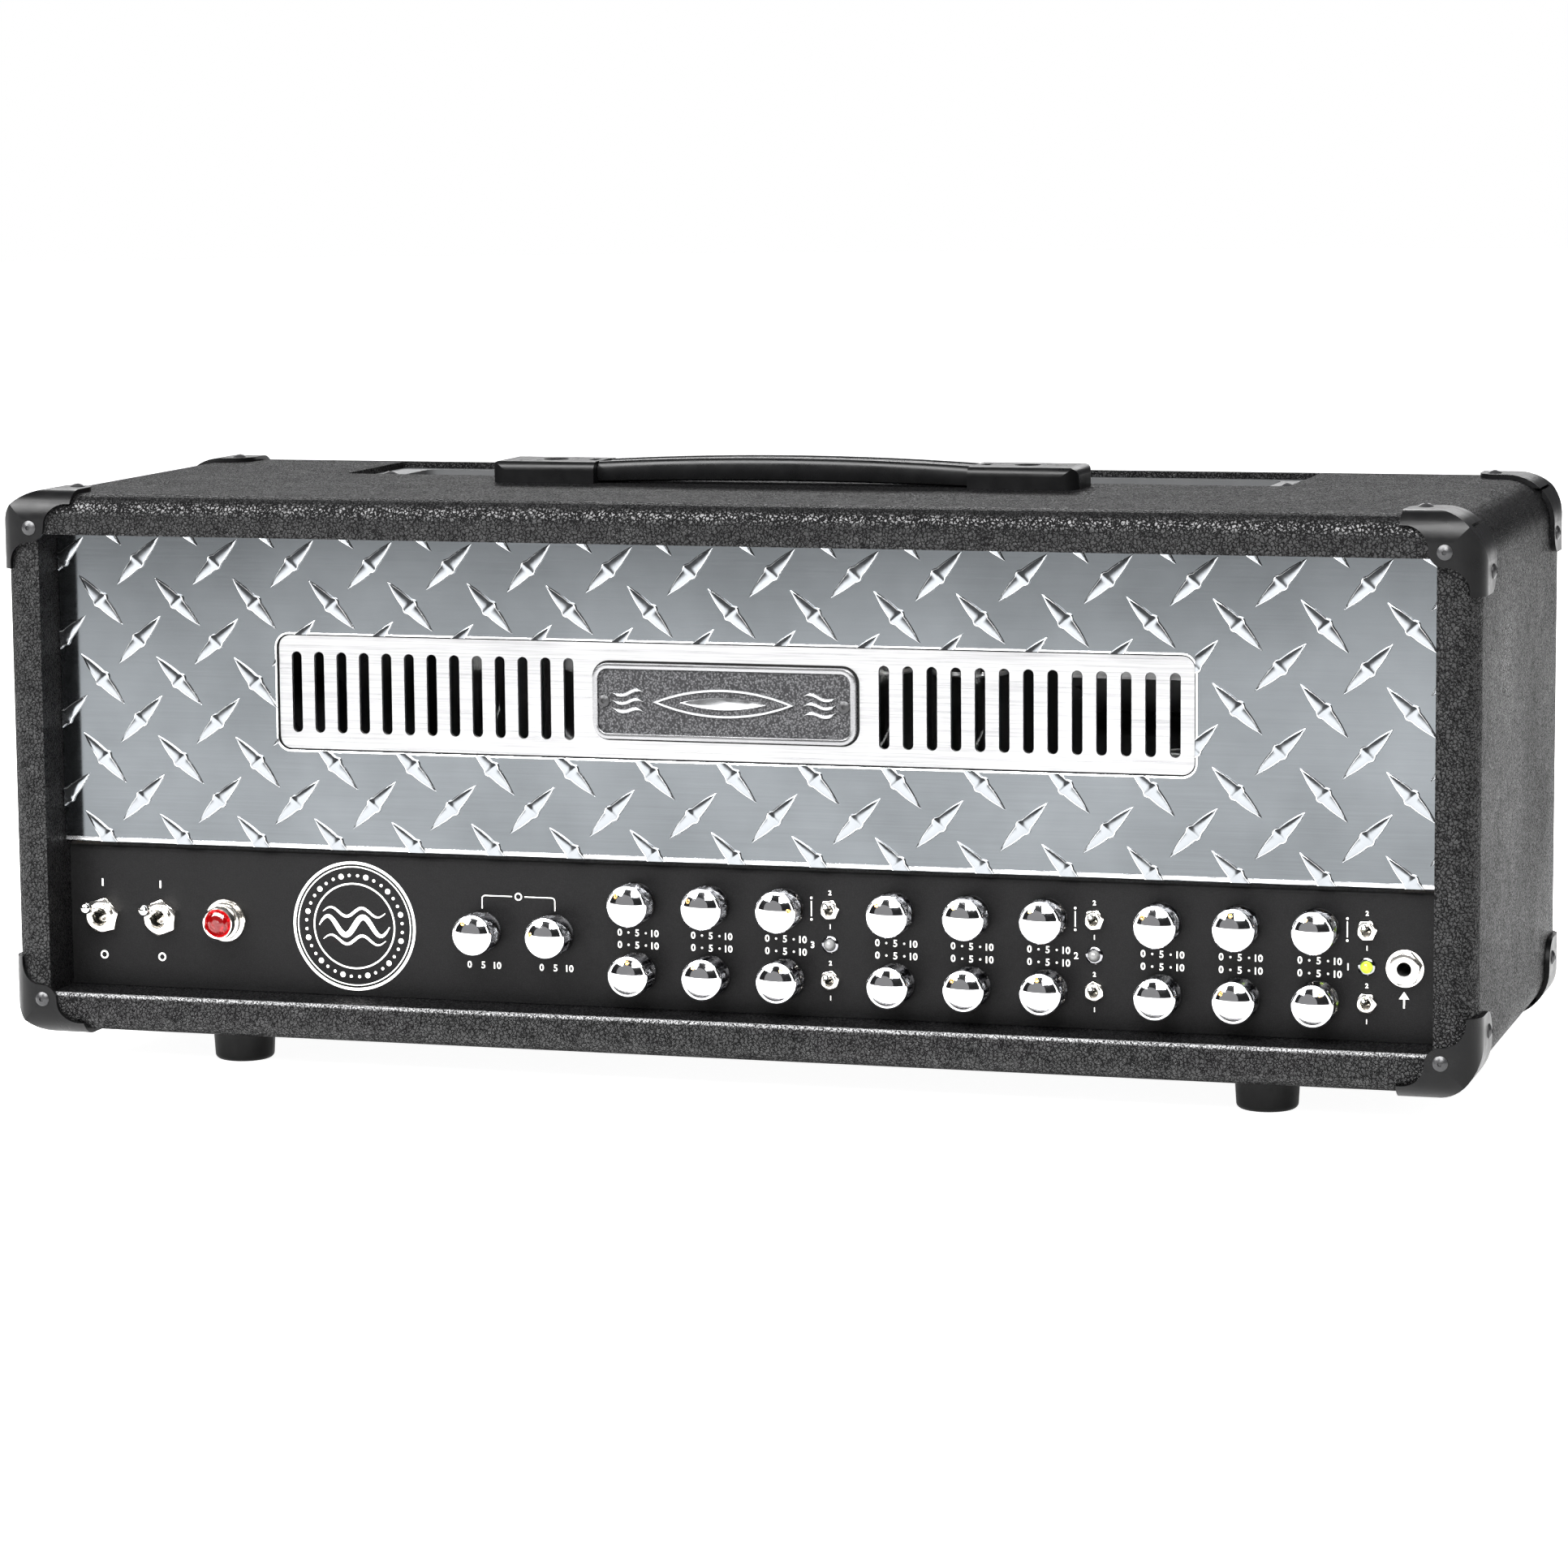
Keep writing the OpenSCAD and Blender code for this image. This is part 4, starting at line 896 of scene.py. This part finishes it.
def lamps():
    bezel = Form()
    y = PANEL_Y
    holder = [(6.15, -5), (7, -5), (7, -0.05), (9.7, -0.05), (9.9, 0.15), (9.9, 1.6), (9.6, 2),
              (8.75, 2), (8.6, 2.2), (8.6, 5.5), (8.3, 5.95), (7.55, 6), (7.4, 6.2), (7.4, 10.2),
              (7.15, 10.85), (6.7, 11), (6.3, 10.7), (6.15, 10.2), (6.15, -5)]
    bezel.turned([(r, y - out) for r, out in holder], (JEWEL_X, ROW_Z), 64)
    collar = [(2.55, -3), (3, -3), (3, -0.02), (3.7, -0.02), (3.95, 0.1), (3.8, 0.55), (3.3, 0.9),
              (2.8, 1), (2.55, 0.9), (2.55, -3)]
    for channel in CHANNELS.values():
        bezel.turned([(r, y - out) for r, out in collar], (channel + SWITCH, ROW_Z), 40, 1)
    bezel.build("bezels", [NICKEL, SHADED_CHROME], "nickel", ["lamp_bezels"], sharp=28)

    jewel = Form()
    n = 12
    rows = [(6.0, -4), (6.0, 10.1), (5.4, 11.5), (4.0, 12.5), (2.2, 13.1)]
    loops = []
    for k, (r, out) in enumerate(rows):
        loops.append(circle(JEWEL_X, ROW_Z, r, y - out, n, 0.0 if k % 2 else pi / n))
    for k, (a, b) in enumerate(zip(loops, loops[1:])):
        faces = []
        for i in range(n):
            j = (i + 1) % n
            if k == 2:
                faces += [[i, j, n + j], [i, n + j, n + i]]
            else:
                faces += [[i, j, n + i], [j, n + j, n + i]]
        jewel.add(a + b, faces, 0, True)
    tip = (JEWEL_X, y - 13.25, ROW_Z)
    jewel.add(loops[-1] + [tip], [[i, (i + 1) % n, n] for i in range(n)], 0, True)
    jewel.add(loops[0], [list(range(n))], 0, True)
    jewel.build("jewel", [JEWEL], "lamp_glass", ["lamp_lenses"], sharp=10)

    dome = [(2.5 * cos(a), y - 1.35 - 2.5 * sin(a)) for a in quarter(9)]
    for number, channel in CHANNELS.items():
        at = (channel + SWITCH, ROW_Z)
        form = Form()
        form.turned([(0, y + 4), (2.5, y + 4), (2.5, y - 1.35)] + dome + [(0, y - 3.85)], at, 32)
        form.turned([(0, y + 3.6), (1.6, y + 3.6), (1.6, y + 0.6), (0, y + 0.2)], at, 24, 1)
        looks = [LIT if number == 1 else LENS, PLATE_GREY]
        form.build("lamp_%d" % number, looks, "lamp_glass", ["lamp_lenses"])


lamps()
threads()

# ---- handle


def strap():
    """A vinyl strap that bows up in the middle, with a raised bead along each edge."""
    form = Form()
    half, wide = 88.8, 12.25
    bead = [(0, 3.2), (0.8, 1.1), (2.3, 0.2), (3.4, 0), (4.3, 0.15), (4.9, 0.6), (5.8, 0.7)]
    loops = []
    steps = 48
    for i in range(steps + 1):
        t = -1 + 2 * i / steps
        x = t * half
        top = ROOF_Z + 12.5 - 2.6 * t * t
        low = ROOF_Z + 1.8 - 1.5 * t * t
        side = [(wide - 3, low), (wide - 0.9, low + 0.8), (wide, low + 2.9)]
        side += [(wide - inset, top - drop) for inset, drop in bead]
        ring = side + [(0, top - 0.45)] + [(-y, z) for y, z in side[::-1]]
        loops.append([(x, HANDLE_Y + y, z) for y, z in ring])
    form.loft(loops)
    tongue = [(-10, 3.6), (10, 3.6), (10, 6.0), (-10, 6.0)]
    for side in (-1, 1):
        form.loft([[(side * (half + reach), HANDLE_Y + y, ROOF_Z + z) for y, z in tongue]
                   for reach in (-1, 36)])
    form.build("strap", [STRAP], "strap_vinyl", ["handle_strap"], sharp=40)


strap()


def cap_screws():
    """Round-head screws in the end caps' counterbores."""
    form = Form()
    z = ROOF_Z + 6.5
    head = [(4.6, -0.3), (4.6, 0.3), (4.2, 1.1), (3.0, 1.9), (1.2, 2.25), (0, 2.3)]
    for x in (-113, 113):
        form.turned([(r, z + up) for r, up in head], (x, HANDLE_Y), 40, axis="z")
    form.build("cap_screw_heads", [SCREW], "screw_black")


# ---- tubes


def tubes():
    bases, bulbs, inner = Form(), Form(), Form()
    start = DECK_Z + 3
    half_plate = [(0.8, -4), (4, -6.4), (9.5, -6.4), (11, -3), (11, 3), (9.5, 6.4), (4, 6.4), (0.8, 4)]
    # the place, radius and height of four power tubes and two rectifier tubes
    octals = [(-60 + 45 * i, 18, 82) for i in range(4)] + [(-165, 20, 92), (-115, 20, 92)]
    for x, r, high in octals:
        at = (x, TUBE_ROW_Y)
        top = start + 14
        crown = top + high - r
        base = [(12, start), (16.2, start), (16.4, start + 0.4), (16.4, start + 3), (16.1, start + 3.4),
                (16.1, top - 1.2), (15.6, top - 0.3), (15.3, top), (12, top), (12, start)]
        bases.turned(base, at, 48, axis="z")
        for wall, way in ((0, 1), (1.2, -1)):
            rr = r - wall
            profile = [(15.4 - wall, top - 0.4), (15.5 - wall, top), (rr - 0.9, top + 10),
                       (rr, top + 14), (rr, crown)]
            profile += [(rr * cos(a), crown + rr * sin(a)) for a in quarter(12)]
            profile.append((0, crown + rr))
            bulbs.turned(profile[::way], at, 48, axis="z")
        stem = [(0, top + 1), (9, top + 1), (9.6, top + 2), (9.6, top + 3), (0, top + 3)]
        inner.turned(stem, at, 32, axis="z")
        low, high_end = top + 14, crown - 6
        for wing in (-1, 1):
            inner.loft([[(x + wing * px, TUBE_ROW_Y + py, level) for px, py in half_plate]
                        for level in (low, high_end)])
        mica = 13.2 if r < 19 else 15
        for level in (low - 1.2, high_end + 0.6):
            rows = [(0, level), (mica, level), (mica, level + 0.7), (0, level + 0.7)]
            inner.turned(rows, at, 40, 1, axis="z")
        ring = high_end + 7
        getter = [(0, ring), (4.5, ring), (4.8, ring + 0.4), (4.5, ring + 0.8), (0, ring + 0.8)]
        inner.turned(getter, at, 28, 2, axis="z")
        for px, py in ((-5, 0), (5, 0), (0, 5)):
            inner.turned([(0.5, top + 3), (0.5, ring)], (x + px, TUBE_ROW_Y + py), 8, axis="z")
    bases.build("tube_bases", [BAKELITE], "socket_brown", ["power_tubes", "rectifier_tubes"])
    bulbs.build("tube_bulbs", [BULB], "tube_glass", ["power_tubes", "rectifier_tubes"])
    inner.build("tube_electrodes", [PLATE_GREY, SHIELD, GETTER], "shield_metal",
                ["power_tubes", "rectifier_tubes"], sharp=28)


tubes()
cap_screws()

# ---- print on the panel

INK_Y = PANEL_Y - 0.05


def label(form, text, x, z, high):
    """Numbers or a mark on the panel, centred on x and z and high millimetres tall."""
    curve = bpy.data.curves.new("label", "FONT")
    curve.body = text
    curve.resolution_u = 3
    curve.offset = 0.02
    holder = bpy.data.objects.new("label", curve)
    mesh = bpy.data.meshes.new_from_object(holder)
    spots = [v.co.copy() for v in mesh.vertices]
    faces = [list(f.vertices) for f in mesh.polygons]
    bpy.data.objects.remove(holder)
    bpy.data.curves.remove(curve)
    bpy.data.meshes.remove(mesh)
    lo = [min(p[i] for p in spots) for i in (0, 1)]
    hi = [max(p[i] for p in spots) for i in (0, 1)]
    size = high / (hi[1] - lo[1])
    middle = [(lo[i] + hi[i]) / 2 for i in (0, 1)]
    points = [(x + (p.x - middle[0]) * size, INK_Y, z + (p.y - middle[1]) * size) for p in spots]
    form.add(points, faces, 0, True)


def annulus(form, x, z, r0, r1, n=64):
    """A flat printed ring."""
    points = circle(x, z, r0, INK_Y, n) + circle(x, z, r1, INK_Y, n)
    faces = [[i, n + i, n + (i + 1) % n, (i + 1) % n] for i in range(n)]
    form.add(points, faces, 0, True)


def dot(form, x, z, r):
    form.add(circle(x, z, r, INK_Y, 16), [list(range(16))], 0, True)


def stroke(form, spine, wide):
    """A printed line along (x, z) points. wide is a number or a function of the place along it."""
    points = []
    for x, z, nx, nz, t in across(spine):
        half = (wide(t) if callable(wide) else wide) / 2
        points += [(x + nx * half, INK_Y, z + nz * half), (x - nx * half, INK_Y, z - nz * half)]
    faces = [[2 * i - 2, 2 * i - 1, 2 * i + 1, 2 * i] for i in range(1, len(spine))]
    form.add(points, faces, 0, True)


def printing():
    form = Form()
    columns = [(x + k * COLUMN) for x in CHANNELS.values() for k in (-1, 0, 1)]
    for x in columns:
        for z in (68.7, 63.1):
            for text, shift in (("0", -8.2), ("5", 0), ("10", 8.4)):
                label(form, text, x + shift, z, 3.2)
            for shift in (-4.1, 4.1):
                dot(form, x + shift, z, 0.5)
    for x in (-116.7, -82.1):
        for text, shift in (("0", -6.6), ("5", 0), ("10", 6.8)):
            label(form, text, x + shift, 51.1, 3.2)
    for x in (-303.5, -274.5):
        stroke(form, [(x, 80.6), (x, 84.0)], 0.75)
        annulus(form, x, 48.4, 1.25, 1.95, 32)
    for channel, x in CHANNELS.items():
        s = x + SWITCH
        for text, z in (("2", 90.2), ("1", 75.0), ("2", 58.6), ("1", 42.9)):
            label(form, text, s, z, 2.1)
        label(form, str(channel), s - 8.2, ROW_Z - 0.3, 3.0)
        stroke(form, [(s - 8.6, 79.4), (s - 8.6, 86.2)], 0.5)
        dot(form, s - 8.6, 87.6, 0.55)
        dot(form, s - 8.6, 78.0, 0.55)
    # a tie between the two knobs at the left
    left, right, top, low, r = -116.8, -82.0, 83.0, 77.0, 1.5
    arc = [pi / 2 * i / 6 for i in range(7)]
    path = [(left, low)] + [(left + r - r * cos(a), top - r + r * sin(a)) for a in arc]
    path += [(x, top) for x in (-110, -102.4)]
    stroke(form, path, 0.4)
    stroke(form, [(2 * -99.4 - x, z) for x, z in path], 0.4)
    annulus(form, -99.4, top, 1.2, 1.75, 28)
    # an arrow into the jack
    stroke(form, [(303.5, 49.4), (303.5, 54.0)], 0.7)
    form.add([(301.3, INK_Y, 53.4), (303.5, INK_Y, 56.6), (305.7, INK_Y, 53.4)], [[0, 1, 2]], 0, True)
    # a round emblem: rings, beads and three waves
    ex, ez = -179.0, 66.5
    annulus(form, ex, ez, 28.6, 29.8, 128)
    annulus(form, ex, ez, 27.1, 27.6, 128)
    annulus(form, ex, ez, 19.2, 19.9, 96)
    for i in range(36):
        a = TAU * (i + 0.5) / 36
        dot(form, ex + 23.4 * sin(a), ez + 23.4 * cos(a), 1.25 if i % 3 == 1 else 0.7)
    for k, (rise, thick) in enumerate(((0, 2.6), (6.4, 1.3), (-6.4, 1.3))):
        wave = []
        reach = 17.2 if k == 0 else 15.2
        for i in range(73):
            t = i / 72
            swing = (4.2 if k == 0 else 2.0) * sin(TAU * 2 * t)
            wave.append((ex - reach + 2 * reach * t, ez + rise + swing))
        stroke(form, wave, lambda t, thick=thick: thick * max(0.2, sin(pi * t) ** 0.5))
    form.build("panel_print", [INK], "panel_black")


printing()

# ---- studio


def stage_surface(name, base, rough, glow):
    s = Surface(name, base, rough, Emission_Color=(1, 1, 1, 1), Emission_Strength=glow)
    s.bump(s.noise(300, 3), 0.02, 0.05)
    return s.mat


def floor():
    mesh = bpy.data.meshes.new("floor")
    mesh.from_pydata([(-30, -30, 0), (30, -30, 0), (30, 30, 0), (-30, 30, 0)], [], [(0, 1, 2, 3)])
    mesh.materials.append(stage_surface("floor_white", (0.55, 0.55, 0.55), 0.9, 0.95))
    plane = placed("floor", mesh)


def glowing(name, mesh, look, unseen_by):
    """A piece that only glows, with its nodes. unseen_by names the rays that pass it by."""
    mat = bpy.data.materials.new(look)
    mat.use_nodes = True
    tree = mat.node_tree
    tree.nodes.clear()
    glow = tree.nodes.new("ShaderNodeEmission")
    out = tree.nodes.new("ShaderNodeOutputMaterial")
    tree.links.new(glow.outputs[0], out.inputs["Surface"])
    mesh.materials.append(mat)
    piece = placed(name, mesh)
    for ray in unseen_by.split():
        setattr(piece, "visible_" + ray, False)
    return piece, tree, glow


def ball_mesh(name, radius):
    work = bmesh.new()
    bmesh.ops.create_uvsphere(work, u_segments=48, v_segments=24, radius=radius)
    mesh = bpy.data.meshes.new(name)
    work.to_mesh(mesh)
    work.free()
    return mesh


def surround():
    """The dim studio that the polished parts mirror. Nothing else sees it."""
    radius = 9.0
    unseen_by = "camera diffuse transmission volume_scatter shadow"
    dome, tree, glow = glowing("surround", ball_mesh("surround", radius), "surround", unseen_by)
    new, link = tree.nodes.new, tree.links.new
    coord = new("ShaderNodeTexCoord")
    split = new("ShaderNodeSeparateXYZ")
    depth = new("ShaderNodeMapRange")
    depth.inputs["From Min"].default_value = -0.2 * radius
    depth.inputs["From Max"].default_value = 0.7 * radius
    tone = new("ShaderNodeValToRGB")
    tone.color_ramp.elements[0].color = (0.02, 0.02, 0.021, 1)
    tone.color_ramp.elements[1].color = (0.12, 0.12, 0.125, 1)
    link(coord.outputs["Object"], split.inputs[0])
    link(split.outputs["Y"], depth.inputs["Value"])
    link(depth.outputs["Result"], tone.inputs["Fac"])
    link(tone.outputs["Color"], glow.inputs["Color"])


def backdrop():
    """White paper all round, which only the camera and light through glass meet."""
    unseen_by = "diffuse glossy volume_scatter shadow"
    ball, _, glow = glowing("backdrop", ball_mesh("backdrop", 12.0), "backdrop_white", unseen_by)
    glow.inputs["Color"].default_value = (1, 1, 1, 1)


def mirrored_stand():
    """A dim round panel behind the camera. It shows only as the grey spot in each knob's dome."""
    azimuth = radians(-19)
    way = Vector((sin(azimuth), -cos(azimuth), 0))
    centre = way * 5.0 + Vector((0, 0, 0.35))
    side = Vector((-way.y, way.x, 0))
    n = 48
    points = []
    for i in range(n):
        a = TAU * i / n
        points.append(centre + side * 2.9 * cos(a) + Vector((0, 0, 2.6 * sin(a))))
    mesh = bpy.data.meshes.new("mirrored_stand")
    mesh.from_pydata(points, [], [list(range(n))])
    unseen_by = "camera diffuse transmission shadow"
    disc, _, glow = glowing("mirrored_stand", mesh, "stand_grey", unseen_by)
    glow.inputs["Color"].default_value = (0.27, 0.27, 0.275, 1)


def softbox(name, azimuth, elevation, distance, size, watts):
    """A light. azimuth is measured to the right of the amplifier's front, in degrees."""
    az, el = radians(azimuth), radians(elevation)
    way = Vector((sin(az) * cos(el), -cos(az) * cos(el), sin(el)))
    light = bpy.data.lights.new(name, "AREA")
    light.shape = "RECTANGLE"
    light.size, light.size_y = size
    light.energy = watts
    lamp = placed(name, light)
    lamp.location = Vector((0, 0, 0.15)) + way * distance
    lamp.rotation_euler = way.to_track_quat("Z", "Y").to_euler()
    lamp.visible_camera = False


floor()
surround()
backdrop()
mirrored_stand()
softbox("softbox_left", -48, 34, 2.7, (1.45, 1.0), 110)
softbox("softbox_right", 17, 34, 2.7, (1.3, 1.0), 100)
softbox("softbox_over", -14, 56, 2.5, (2.6, 1.1), 260)
softbox("softbox_back", -165, 24, 3.0, (2.6, 0.7), 36)

world = bpy.data.worlds.new("studio")
world.use_nodes = True
world.node_tree.nodes["Background"].inputs["Color"].default_value = (1, 1, 1, 1)
world.node_tree.nodes["Background"].inputs["Strength"].default_value = 0.5
bpy.context.scene.world = world
bpy.context.scene.view_settings.view_transform = "Standard"

# ---- camera

# Solved on the straight edges of the cabinet
yaw, pitch, roll = radians(16.7187), radians(7.7833), radians(-0.5136)
ahead = Vector((-sin(yaw), cos(yaw), 0)) * cos(pitch) - Vector((0, 0, sin(pitch)))
level_right = ahead.cross(Vector((0, 0, 1))).normalized()
level_up = level_right.cross(ahead)
right = level_right * cos(roll) + level_up * sin(roll)
up = level_up * cos(roll) - level_right * sin(roll)
lens = bpy.data.cameras.new("camera")
lens.lens = 115.52
lens.sensor_width = 36
lens.clip_end = 60
camera = placed("camera", lens)
turn = Matrix((right, up, -ahead)).transposed().to_4x4()
camera.matrix_world = Matrix.Translation(Vector((0.66144, -2.21120, 0.44001))) @ turn
bpy.context.scene.camera = camera
